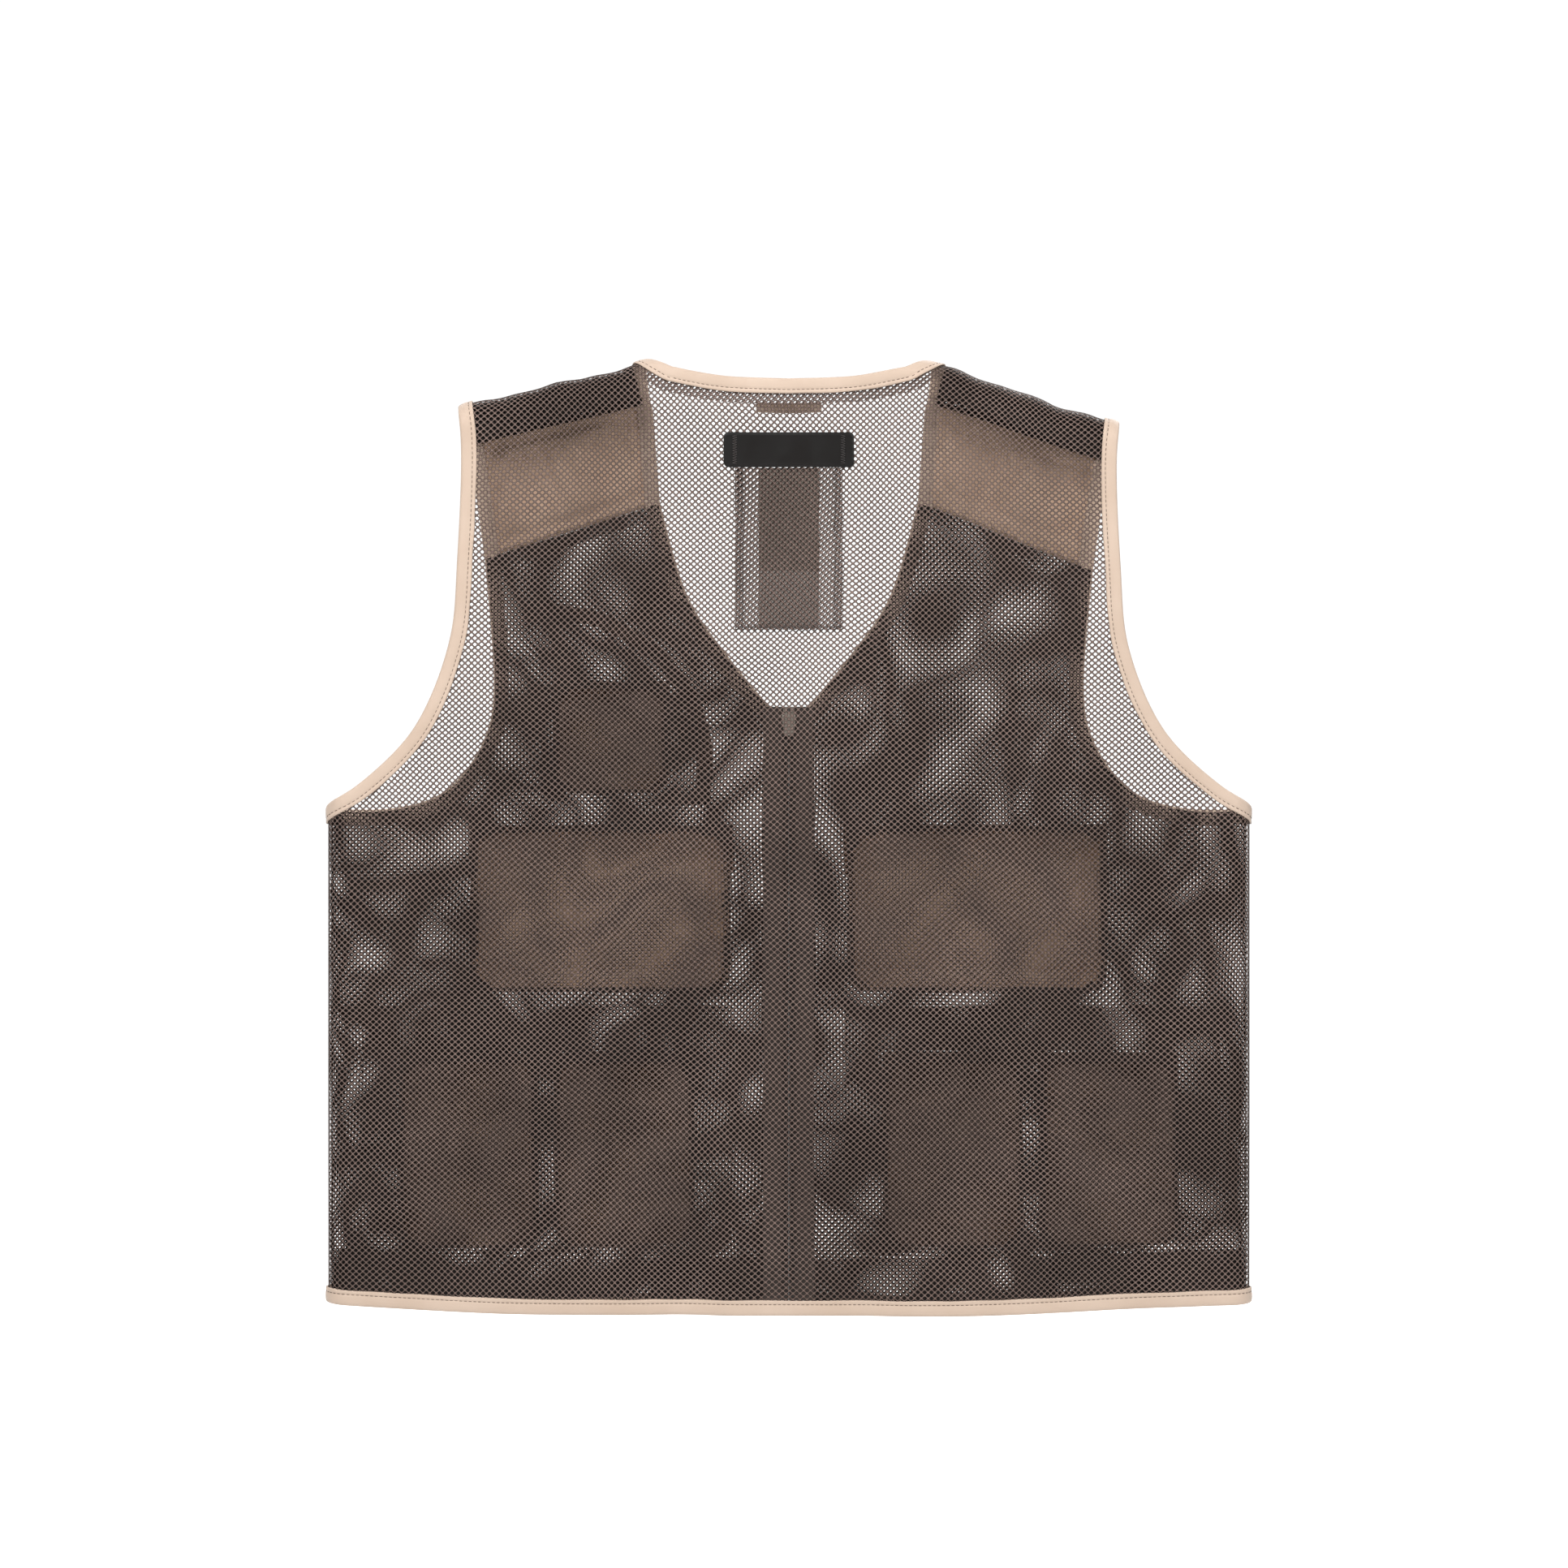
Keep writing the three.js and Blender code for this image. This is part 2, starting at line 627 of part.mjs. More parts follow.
// Two plates, a post that runs in the gap between the teeth, and a crown for the pull.
function makeSlider() {
  const slider = new THREE.Group();
  const half = SLIDER_LENGTH / 2;
  const room = CHAIN_DEPTH / 2 + SLIDER_CLEARANCE;
  const outer = room + SLIDER_PLATE;
  const crownHead = half - CROWN_INSET;
  const crownLegs = crownHead - CROWN_BAR;
  const crownTop = outer + CROWN_ROOM;
  const crown = [-CROWN_WIDTH / 2, CROWN_WIDTH / 2];
  const body = join(
    block([-SLIDER_HALF, SLIDER_HALF], [-half, half], [room, outer]),
    block([-SLIDER_HALF, SLIDER_HALF], [-half, half], [-outer, -room]),
    block([-POST_WIDTH / 2, POST_WIDTH / 2], [half - POST_LENGTH, half], [-outer, outer]),
    block(crown, [crownLegs, crownHead], [room, crownTop]),
    block(crown, [CROWN_FOOT, CROWN_FOOT + CROWN_BAR], [room, crownTop]),
    block(crown, [CROWN_FOOT, crownHead], [crownTop, crownTop + CROWN_STRAP]),
  );
  slider.add(named('zip_slider', turnToFront(body, 1), metal));

  const windowReach = CROWN_WIDTH / 2 + CROWN_CLEARANCE;
  const pull = cut(
    block(
      [-PULL_WIDTH / 2, PULL_WIDTH / 2],
      [PULL_BAR / 2 - PULL_LENGTH, PULL_BAR / 2],
      [-PULL_PLATE / 2, PULL_PLATE / 2],
    ),
    block(
      [-windowReach, windowReach],
      [-PULL_BAR / 2 - PULL_WINDOW, -PULL_BAR / 2],
      [-PULL_PLATE, PULL_PLATE],
    ),
  );
  const tab = named('zip_pull', turnToFront(pull, 1), metal);
  tab.position.set(0, -(outer + CROWN_ROOM / 2), crownLegs - PULL_DROP);
  slider.add(tab);

  const sliderTop = NECK_POINT + TAPE_RISE - STOP_HEIGHT - GAP;
  slider.position.copy(pivotOnFront(sliderTop - half, CHAIN_MIDDLE));
  return slider;
}

// ---- Middle pocket: a deep pouch under a flap with a hook-and-loop closure
function addMidPocket(front, side, word) {
  const left = MID_POCKET_INNER;
  const right = left + MID_POCKET_WIDTH;
  const flapTop = UNDERARM - POCKET_SPACING;
  const high = flapTop - POCKET_WALL - 2 * GAP;
  const low = high - MID_POCKET_HEIGHT;
  const pouch = roundPocket({ left, right, low, high }, ON_PANEL, MID_POCKET_DEPTH);
  front.add(named(`mid_pocket_${word}`, layOnFront(pouch, side), tan));

  const middle = (left + right) / 2;
  const patchSpan = [middle - PATCH_WIDTH / 2, middle + PATCH_WIDTH / 2];
  const patchFoot = flapTop - FLAP_HEIGHT + PATCH_INSET;
  const patchRise = [patchFoot, patchFoot + PATCH_HEIGHT];
  const loopLevel = ON_PANEL + MID_POCKET_DEPTH + GAP;
  const loop = block(patchSpan, patchRise, [loopLevel, loopLevel + PATCH_CLOTH]);
  front.add(named(`mid_loop_patch_${word}`, layOnFront(loop, side), tape));

  const flap = new THREE.Group();
  const hookLevel = loopLevel + PATCH_CLOTH + GAP;
  const flapLevel = hookLevel + PATCH_CLOTH + GAP;
  const span = [left - FLAP_OVERHANG, right + FLAP_OVERHANG];
  const drop = (level) => level - ON_PANEL;
  const face = roundFoot(...span, -FLAP_HEIGHT, 0, CORNER);
  const lid = join(
    plate(face, drop(flapLevel), drop(flapLevel) + POCKET_WALL),
    block(span, [-POCKET_WALL, 0], [GAP, drop(flapLevel) + POCKET_WALL]),
  );
  const hook = block(patchSpan, patchRise.map((up) => up - flapTop), [
    drop(hookLevel),
    drop(hookLevel) + PATCH_CLOTH,
  ]);
  flap.add(named(`mid_flap_${word}`, turnToFront(lid, side), tan));
  flap.add(named(`mid_hook_patch_${word}`, turnToFront(hook, side), tape));
  flap.position.copy(pivotOnFront(flapTop, ON_PANEL));
  front.add(flap);
}

// ---- Lower pocket: a wide mesh pocket with a doubled top and two tan pouches on its face
function addLowerPocket(front, side, word) {
  const left = LOWER_POCKET_INNER;
  const right = halfWidth - LOWER_POCKET_SIDE;
  const midFoot = UNDERARM - POCKET_SPACING - POCKET_WALL - 2 * GAP - MID_POCKET_HEIGHT;
  const high = midFoot - POCKET_SPACING;
  const low = hemCentre + LOWER_POCKET_ABOVE_HEM;
  const pocket = roundPocket({ left, right, low, high }, ON_PANEL, LOWER_POCKET_DEPTH);
  front.add(named(`lower_pocket_${word}`, layOnFront(pocket, side), mesh));

  const face = ON_PANEL + LOWER_POCKET_DEPTH + GAP;
  const bandFoot = high - LOWER_BAND_HEIGHT;
  const band = block([left, right], [bandFoot, high], [face, face + CLOTH]);
  front.add(named(`lower_pocket_band_${word}`, layOnFront(band, side), mesh));

  const span = right - left - 2 * LOWER_POUCH_MARGIN;
  const width = (span - LOWER_POUCH_GAP) / 2;
  ['inner', 'outer'].forEach((row, i) => {
    const start = left + LOWER_POUCH_MARGIN + i * (width + LOWER_POUCH_GAP);
    const box = {
      left: start,
      right: start + width,
      low: low + LOWER_POUCH_FOOT,
      high: bandFoot - LOWER_POUCH_HEAD,
    };
    const pouch = roundPocket(box, face, POUCH_DEPTH);
    front.add(named(`lower_pouch_${row}_${word}`, layOnFront(pouch, side), tan));
  });
}

// ---- Chest pocket: a mesh pocket that the hand enters over a curved, bound edge
function addChestPocket(front, side) {
  const inner = CHEST_POCKET_INNER;
  const outer = inner + CHEST_POCKET_WIDTH;
  const low = UNDERARM + 3;
  const high = low + CHEST_POCKET_HEIGHT;
  const mouth = curve(
    point(outer - POCKET_WALL - 2, high),
    point(outer - 0.42 * CHEST_POCKET_WIDTH, high - 8),
    point(inner + 0.17 * CHEST_POCKET_WIDTH, low + 0.67 * CHEST_POCKET_HEIGHT),
    point(inner, low + 0.33 * CHEST_POCKET_HEIGHT),
    point(inner + 1, low + 2),
  );
  const outline = [...mouth, point(inner + 4, low), point(outer, low), point(outer, high)];
  const beyond = [
    point(outer - POCKET_WALL, high + 20),
    point(inner - 20, high + 20),
    point(inner - 20, low + POCKET_WALL),
    point(outer - POCKET_WALL, low + POCKET_WALL),
  ];
  const face = ON_PANEL + CHEST_POCKET_DEPTH;
  const pocket = cut(plate(outline, ON_PANEL, face), plate(beyond, 0, face - POCKET_WALL));
  front.add(named('chest_pocket', layOnFront(pocket, side), mesh));

  const edge = binding(mouth, (spot) => spot, { level: face - POCKET_WALL / 2 });
  front.add(named('chest_pocket_edging', layOnFront(edge, side), tan));

  const right = outer - CHEST_POUCH_MARGIN;
  const foot = low + CHEST_POUCH_MARGIN;
  const left = right - CHEST_POUCH_REACH + BINDING_WIDTH;
  const box = { left, right, low: foot, high: foot + CHEST_POUCH_HEIGHT };
  const pouch = roundPocket(box, face + GAP, POUCH_DEPTH);
  front.add(named('chest_pouch', layOnFront(pouch, side), tan));
}

export default vest;
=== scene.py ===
"""A fishing vest in see-through net, with tan bound edges, a front zip and layered pockets.

Metres, +Z up. The front faces -Y and the wearer's left is +X. Cloth is cut flat, as
(across, up, level), and then laid round the body; a level is a height above the panel.
"""

import math
from contextlib import contextmanager
from functools import partial

import bmesh
import bpy
import numpy as np
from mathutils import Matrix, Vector, geometry


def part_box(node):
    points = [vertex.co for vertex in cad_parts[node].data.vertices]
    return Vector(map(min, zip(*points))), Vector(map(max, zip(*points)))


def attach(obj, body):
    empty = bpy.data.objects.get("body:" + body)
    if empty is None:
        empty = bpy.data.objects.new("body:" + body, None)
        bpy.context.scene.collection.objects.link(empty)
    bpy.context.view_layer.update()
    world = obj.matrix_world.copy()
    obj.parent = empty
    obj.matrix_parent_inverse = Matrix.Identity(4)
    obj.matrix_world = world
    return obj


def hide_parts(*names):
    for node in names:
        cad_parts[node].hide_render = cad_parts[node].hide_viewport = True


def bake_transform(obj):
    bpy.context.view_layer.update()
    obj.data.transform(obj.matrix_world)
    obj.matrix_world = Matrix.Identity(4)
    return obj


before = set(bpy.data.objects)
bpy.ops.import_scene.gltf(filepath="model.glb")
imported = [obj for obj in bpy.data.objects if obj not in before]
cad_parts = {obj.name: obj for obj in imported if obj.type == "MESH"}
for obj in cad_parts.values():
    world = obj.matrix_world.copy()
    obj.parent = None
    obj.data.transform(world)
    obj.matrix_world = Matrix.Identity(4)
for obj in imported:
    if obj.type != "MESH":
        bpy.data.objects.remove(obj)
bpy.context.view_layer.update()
bpy.ops.object.select_all(action="DESELECT")

MM = 0.001


def mm(*sizes):
    return tuple(size * MM for size in sizes)


# ---- The vest's sizes
HALF_DEPTH = 15 * MM
CHEST_HALF = 306 * MM
TRUNK_FLAT = CHEST_HALF - HALF_DEPTH
GAP = 0.3 * MM
SIDE_SEAM = TRUNK_FLAT + HALF_DEPTH * math.pi / 2
NECK_HALF = 96 * MM
SHOULDER_HALF = 216 * MM
SHOULDER_TOP = 28 * MM
SHOULDER_SLOPE = 0.275
NECK_DIP = 15 * MM
UNDERARM = -269 * MM
SEAM_DROP = 6 * MM
HEM_CENTRE = -603 * MM
HEM_RISE = 7 * MM
BINDING_WIDTH = 9 * MM
BINDING_CLOTH = 0.9 * MM
YOKE_CLOTH, POUCH_CLOTH, FLAP_CLOTH, PAD_CLOTH, ZIP_CLOTH = mm(0.5, 0.6, 1.0, 0.8, 0.6)
NECK_POINT = -209 * MM
ZIP_EDGE = 6.5 * MM
YOKE_NECK = -64 * MM
YOKE_ARM = -104 * MM
ROLL_END = HALF_DEPTH * math.pi + SEAM_DROP
SHOULDER_UP = Vector((SHOULDER_SLOPE, 1)).normalized()
SPRING_AT_NECK = SHOULDER_TOP - HALF_DEPTH / SHOULDER_UP.y

# ---- How finely cloth is made
CLOTH_CELL = 4.5 * MM
POCKET_CELL = 3.6 * MM
EDGE_STEP = 3 * MM
CURVE_STEPS = 14
HEM_STEPS = 24
SAME_SPOT = 0.2 * MM
STITCH_PITCH = 3.1 * MM
STITCH_LENGTH = 2.3 * MM
THREAD = 0.42 * MM
STITCH_INSET = 6.4 * MM
STITCH_RISE = 1.2 * MM

# ---- Levels on a panel
ON_PANEL = 0.9 * MM
LINING_LEVEL = -1.9 * MM
SHOULDER_LININGS = mm(1.6, 3.2)


# ---- Outlines on the flat cloth
def at(across, up):
    return Vector((across, up))


def spring_height(across):
    return SPRING_AT_NECK - SHOULDER_SLOPE * (across - NECK_HALF)


def spring_point(across, rise):
    return at(across, spring_height(across)) + SHOULDER_UP * rise


def arm_point(share, up):
    return at(SHOULDER_HALF + share * (SIDE_SEAM - GAP / 2 - SHOULDER_HALF), up)


def seam_point(across, drop=0.0):
    return spring_point(across, -SEAM_DROP - GAP - drop)


def curve(*points):
    """A smooth line through the points."""
    line = []
    last = len(points) - 1
    for i in range(last):
        before = points[max(i - 1, 0)]
        here = points[i]
        ahead = points[i + 1]
        beyond = points[min(i + 2, last)]
        pull_in = (ahead - before) / 2
        pull_out = (beyond - here) / 2
        for step in range(CURVE_STEPS):
            t = step / CURVE_STEPS
            line.append(
                (2 * here - 2 * ahead + pull_in + pull_out) * t**3
                + (3 * ahead - 3 * here - 2 * pull_in - pull_out) * t**2
                + pull_in * t
                + here
            )
    line.append(points[last].copy())
    return line


def mirrored(line):
    return [at(-spot.x, spot.y) for spot in reversed(line)]


def hem_line(start):
    line = []
    for i in range(HEM_STEPS + 1):
        across = start + (SIDE_SEAM - GAP / 2 - start) * i / HEM_STEPS
        share = min(across / SIDE_SEAM, 1)
        line.append(at(across, HEM_CENTRE + BINDING_CLOTH + GAP + HEM_RISE * share * share))
    return line


BACK_NECK = curve(
    at(0, NECK_DIP),
    at(0.46 * NECK_HALF, NECK_DIP + 2 * MM),
    spring_point(0.8 * NECK_HALF, 6 * MM),
) + curve(
    spring_point(0.8 * NECK_HALF, 6 * MM),
    spring_point(0.94 * NECK_HALF, 24 * MM),
    spring_point(NECK_HALF, ROLL_END),
)[1:]
BACK_ARM = curve(
    spring_point(SHOULDER_HALF, ROLL_END),
    spring_point(SHOULDER_HALF, 0),
    arm_point(0.02, 0.4 * UNDERARM),
    arm_point(0.08, 0.6 * UNDERARM),
    arm_point(0.31, 0.8 * UNDERARM),
    arm_point(0.69, 0.94 * UNDERARM),
    arm_point(1, UNDERARM),
)
YOKE_NECK_END = at(0.91 * NECK_HALF, YOKE_NECK)
YOKE_ARM_END = at(SHOULDER_HALF - 14 * MM, YOKE_ARM)
YOKE_NECK_LINE = [seam_point(NECK_HALF)] + curve(
    seam_point(NECK_HALF, BINDING_WIDTH),
    at(0.935 * NECK_HALF, 0.5 * YOKE_NECK),
    YOKE_NECK_END,
)
YOKE_ARM_LINE = [seam_point(SHOULDER_HALF)] + curve(
    seam_point(SHOULDER_HALF, BINDING_WIDTH),
    at(SHOULDER_HALF - 9 * MM, 0.65 * YOKE_ARM),
    YOKE_ARM_END,
)
FRONT_NECK = curve(
    YOKE_NECK_END,
    at(0.72 * NECK_HALF, 0.6 * NECK_POINT),
    at(0.43 * NECK_HALF, 0.8 * NECK_POINT),
    at(ZIP_EDGE, NECK_POINT),
)
FRONT_ARM = curve(
    YOKE_ARM_END,
    at(SHOULDER_HALF - 20 * MM, 0.68 * UNDERARM),
    at(SHOULDER_HALF - 13 * MM, 0.83 * UNDERARM),
    arm_point(0.13, 0.955 * UNDERARM),
    arm_point(0.5, UNDERARM),
    arm_point(1, UNDERARM),
)


def even(line, spacing):
    """The same line with points at equal distances, its ends kept."""
    spots = np.array([tuple(spot) for spot in line])
    along = np.concatenate([[0], np.cumsum(np.linalg.norm(np.diff(spots, axis=0), axis=1))])
    count = max(int(round(along[-1] / spacing)), 1)
    stops = np.linspace(0, along[-1], count + 1)
    return [
        at(np.interp(stop, along, spots[:, 0]), np.interp(stop, along, spots[:, 1]))
        for stop in stops
    ]


def closed_outline(*lines, spacing):
    """One loop from lines that follow each other, each resampled so its corners stay."""
    loop = []
    for line in lines:
        for spot in even(line, spacing):
            if not loop or (spot - loop[-1]).length > SAME_SPOT:
                loop.append(spot)
    if (loop[0] - loop[-1]).length <= SAME_SPOT:
        loop.pop()
    return loop


# ---- Soft folds that all the cloth of a panel shares
def smooth(value, low, high):
    share = np.clip((value - low) / (high - low), 0, 1)
    return share * share * (3 - 2 * share)


def waves(u, v, terms):
    """A sum of waves (height, lengths across and up, start), bent a little by a slow wave."""
    bent_u = u + 14 * MM * np.sin(v / (61 * MM) + 0.6)
    bent_v = v + 12 * MM * np.sin(u / (73 * MM) + 1.9)
    total = np.zeros_like(u)
    for height, across, up, start in terms:
        total = total + height * np.sin(2 * math.pi * (bent_u / across + bent_v / up) + start)
    return total


BACK_FOLDS = (
    (1.1 * MM, 0.34, 0.61, 0.4),
    (0.8 * MM, -0.21, 0.37, 2.1),
    (0.5 * MM, 0.12, 0.29, 4.0),
    (0.3 * MM, -0.075, 0.11, 1.2),
)
FRONT_FOLDS = (
    (1.0 * MM, 0.23, 0.47, 1.4),
    (0.8 * MM, -0.15, 0.28, 3.3),
    (0.5 * MM, 0.085, -0.16, 0.2),
    (0.3 * MM, 0.055, 0.07, 5.1),
)
ROLL_FOLDS = (
    (0.7 * MM, 0.052, 0.31, 0.3),
    (0.4 * MM, -0.027, 0.17, 2.2),
)


def back_fold(u, v):
    reach = np.abs(u)
    inside = 1 - smooth(reach, 0.25, 0.288)
    rise = (v - spring_height(reach)) * SHOULDER_UP.y
    body = 1 - smooth(rise, -0.03, 0.0)
    roll = smooth(rise, -0.03, 0.01) * (1 - smooth(rise, 0.025, ROLL_END - 0.004))
    return inside * body * waves(u, v, BACK_FOLDS) + roll * waves(u, v, ROLL_FOLDS)


def front_fold(u, v):
    inside = smooth(u, 0.022, 0.07) * (1 - smooth(u, 0.25, 0.288))
    below_seam = 1 - smooth(v, -0.05, -0.028)
    return inside * below_seam * waves(u, v, FRONT_FOLDS)


def sway(points):
    """The vest doesn't hang quite evenly: one shoulder stands a little higher."""
    x, z = points[:, 0], points[:, 2]
    side = smooth(np.abs(x), 0.09, 0.21)
    height = smooth(z, -0.26, -0.02)
    lift = np.where(x > 0, 4.0 * MM, -6.5 * MM)
    wave = 1.3 * MM * np.sin(x / (47 * MM) + 0.8) * smooth(np.abs(x), 0.03, 0.08)
    points[:, 2] += side * height * lift + wave * smooth(-z, 0.52, 0.6)
    return points


# ---- Laying flat cloth round the body
def lay_back(flat):
    u, v = flat[:, 0], flat[:, 1]
    level = flat[:, 2] + back_fold(u, v)
    side = np.where(u < 0, -1.0, 1.0)
    reach = np.abs(u)
    turn = np.clip((reach - TRUNK_FLAT) / HALF_DEPTH, 0, None)
    out = HALF_DEPTH + level
    x = np.minimum(reach, TRUNK_FLAT) + out * np.sin(turn)
    y = out * np.cos(turn)
    rise = (v - spring_height(reach)) * SHOULDER_UP.y
    over = np.clip(rise / HALF_DEPTH, 0, math.pi)
    beyond = np.clip(rise - math.pi * HALF_DEPTH, 0, None)
    slid = np.where(rise > 0, out * np.sin(over) - beyond - rise, 0)
    y = np.where(rise > 0, out * np.cos(over), y)
    x = side * (x + SHOULDER_UP.x * slid)
    return sway(np.stack([x, y, v + SHOULDER_UP.y * slid], axis=1))


lay_back.mirrors = True


def lay_front(side):
    def lay(flat):
        u, v = flat[:, 0], flat[:, 1]
        out = HALF_DEPTH + flat[:, 2] + front_fold(u, v)
        turn = np.clip((u - TRUNK_FLAT) / HALF_DEPTH, 0, None)
        x = np.minimum(u, TRUNK_FLAT) + out * np.sin(turn)
        return sway(np.stack([side * x, -out * np.cos(turn), v], axis=1))

    lay.mirrors = side < 0
    return lay


def placed(name, data):
    thing = bpy.data.objects.new(name, data)
    bpy.context.scene.collection.objects.link(thing)
    return thing


# ---- Flat cloth
def make_piece(name, points, faces, flat=None, smooth_faces=True):
    """A piece from points and faces; flat gives the cloth's own coordinates, for its weave."""
    points = np.asarray(points, float)
    data = bpy.data.meshes.new(name)
    data.from_pydata(points.tolist(), [], [list(map(int, face)) for face in faces])
    data.update()
    if smooth_faces:
        data.polygons.foreach_set("use_smooth", [True] * len(data.polygons))
    flat = points[:, :2] if flat is None else np.asarray(flat, float)
    corners = np.zeros(len(data.loops), np.int32)
    data.loops.foreach_get("vertex_index", corners)
    layer = data.uv_layers.new(name="flat")
    layer.data.foreach_set("uv", flat[corners].astype(np.float32).ravel())
    return placed(name, data)


def coordinates(piece):
    spots = np.zeros(len(piece.data.vertices) * 3, np.float32)
    piece.data.vertices.foreach_get("co", spots)
    return spots.reshape(-1, 3).astype(float)


def set_coordinates(piece, spots):
    piece.data.vertices.foreach_set("co", np.asarray(spots, np.float32).ravel())
    piece.data.update()


def to_segments(spots, line):
    """The distance from each spot to the nearest part of a line."""
    line = np.array([tuple(p) for p in line])
    nearest = np.full(len(spots), 1e9)
    for start, end in zip(line[:-1], line[1:]):
        span = end - start
        length = max(float(span @ span), 1e-12)
        share = np.clip(((spots - start) @ span) / length, 0, 1)
        gone = np.linalg.norm(spots - start - share[:, None] * span, axis=1)
        nearest = np.minimum(nearest, gone)
    return nearest


def inside_loop(spots, edge):
    inside = np.zeros(len(spots), bool)
    for start, end in zip(edge, np.roll(edge, -1, axis=0)):
        crosses = (start[1] > spots[:, 1]) != (end[1] > spots[:, 1])
        slope = (end[0] - start[0]) / (end[1] - start[1] if end[1] != start[1] else 1e-12)
        inside ^= crosses & (spots[:, 0] < start[0] + (spots[:, 1] - start[1]) * slope)
    return inside


def triangulate(loop, spacing):
    """Points and triangles that fill a loop, with rows of points a spacing apart inside it."""
    edge = np.array([tuple(p) for p in loop])
    low, high = edge.min(0), edge.max(0)
    inner = []
    row_height = spacing * math.sqrt(3) / 2
    rows = int((high[1] - low[1]) / row_height)
    for row in range(1, rows + 1):
        across = np.arange(low[0], high[0], spacing) + (spacing / 2 if row % 2 else 0)
        inner.append(np.stack([across, np.full(len(across), low[1] + row * row_height)], axis=1))
    spots = np.concatenate(inner) if inner else np.zeros((0, 2))
    spots = spots[inside_loop(spots, edge)]
    spots = spots[to_segments(spots, list(loop) + [loop[0]]) > 0.45 * spacing]
    points = [Vector(p) for p in np.concatenate([edge, spots])]
    found = geometry.delaunay_2d_cdt(points, [], [list(range(len(edge)))], 1, 1e-7, False)
    spots = np.array([tuple(p) for p in found[0]])
    faces = np.array(found[2])
    return spots, faces[inside_loop(spots[faces].mean(axis=1), edge)]


def cut_cloth(name, loop, level=0.0, spacing=CLOTH_CELL, shift=(0, 0)):
    """A flat piece of cloth at a level, which may change from place to place."""
    spots, faces = triangulate(loop, spacing)
    height = level(spots[:, 0], spots[:, 1]) if callable(level) else np.full(len(spots), level)
    points = np.concatenate([spots, height[:, None]], axis=1)
    return make_piece(name, points, faces, flat=spots + np.array(shift))


def laid(piece, lay):
    """Lays a flat piece on the body. A mirroring lay turns the faces round, so they turn back."""
    set_coordinates(piece, lay(coordinates(piece)))
    if lay.mirrors:
        piece.data.flip_normals()
    return piece


def faced_out(piece):
    """Closed shells with every face pointing out."""
    shell = bmesh.new()
    shell.from_mesh(piece.data)
    bmesh.ops.recalc_face_normals(shell, faces=shell.faces)
    shell.to_mesh(piece.data)
    shell.free()
    return piece


def modified(piece, kind, **settings):
    """Gives a piece one modifier and applies it, which leaves a plain mesh."""
    bpy.ops.object.select_all(action="DESELECT")
    piece.select_set(True)
    bpy.context.view_layer.objects.active = piece
    modifier = piece.modifiers.new("shape", kind)
    for name, value in settings.items():
        setattr(modifier, name, value)
    bpy.ops.object.modifier_apply(modifier=modifier.name)
    return piece


def thicken(piece, thickness, offset=0.0):
    return modified(piece, "SOLIDIFY", thickness=thickness, offset=offset)


# ---- Bound edges: a tape folded over the edge of a panel and sewn down
TAPE_UPPER = (
    (9.0, 0.5), (9.1, 0.95), (8.7, 1.38), (7.8, 1.5), (7.0, 1.38), (6.4, 1.12), (5.8, 1.4),
    (4.7, 1.66), (2.6, 1.78), (0.7, 1.72), (-0.5, 1.4), (-1.0, 0.8),
)
TAPE_LOWER = tuple((inward, -height) for inward, height in TAPE_UPPER[::-1])
TAPE_PROFILE = (*TAPE_UPPER, (-1.2, 0.0), *TAPE_LOWER, (0.1, -0.4), (0.1, 0.4))
TAPE_SEAM = 6.4
TAPE_WALL = 0.45



def tangents(line, first=None, last=None):
    ways = []
    for i in range(len(line)):
        ahead = line[min(i + 1, len(line) - 1)]
        behind = line[max(i - 1, 0)]
        ways.append((ahead - behind).normalized())
    if first:
        ways[0] = Vector(first).normalized()
    if last:
        ways[-1] = Vector(last).normalized()
    return ways


def make_tube(name, points, flat, count):
    """A closed tube through rings of points, count points to a ring."""
    last = len(points) - count
    faces = [
        (ring + i, ring + (i + 1) % count, ring + (i + 1) % count + count, ring + i + count)
        for ring in range(0, last, count)
        for i in range(count)
    ]
    faces += [tuple(range(count - 1, -1, -1)), tuple(range(last, last + count))]
    return make_piece(name, points, faces, flat=flat)


def bound_edge(name, line, lay, first=None, last=None, level=None):
    """The tape along a line drawn flat, with the panel on the line's left, laid on the body."""
    spine = even(line, EDGE_STEP)
    ways = tangents(spine, first, last)
    points, flat, girths = [], [], [0.0]
    for (a, b), (c, d) in zip(TAPE_PROFILE[:-1], TAPE_PROFILE[1:]):
        girths.append(girths[-1] + math.hypot(c - a, d - b) * MM)
    for i, (spot, way) in enumerate(zip(spine, ways)):
        distance = i * EDGE_STEP
        pucker = math.sin(distance / (1.9 * MM) + 1.7 * math.sin(distance / (13 * MM)))
        slow = math.sin(distance / (7.1 * MM) + 2.0 * math.sin(distance / (31 * MM)))
        base = level(spot.x, spot.y) if level else 0.0
        for (inward, height), around in zip(TAPE_PROFILE, girths):
            outer = abs(height) > TAPE_WALL
            near_seam = math.exp(-((inward - TAPE_SEAM) / 3.2) ** 2)
            swell = outer * near_seam * (0.13 * pucker + 0.1 * slow)
            reach = inward * MM + outer * (inward > 8) * 0.16 * MM * slow
            points.append((
                spot.x - way.y * reach,
                spot.y + way.x * reach,
                base + (height + math.copysign(swell, height)) * MM,
            ))
            flat.append((distance, around))
    return faced_out(laid(make_tube(name, points, flat, len(TAPE_PROFILE)), lay))


def lifted(surface, rise):
    """The same surface a little higher."""
    return lambda across, up: surface(across, up) + rise


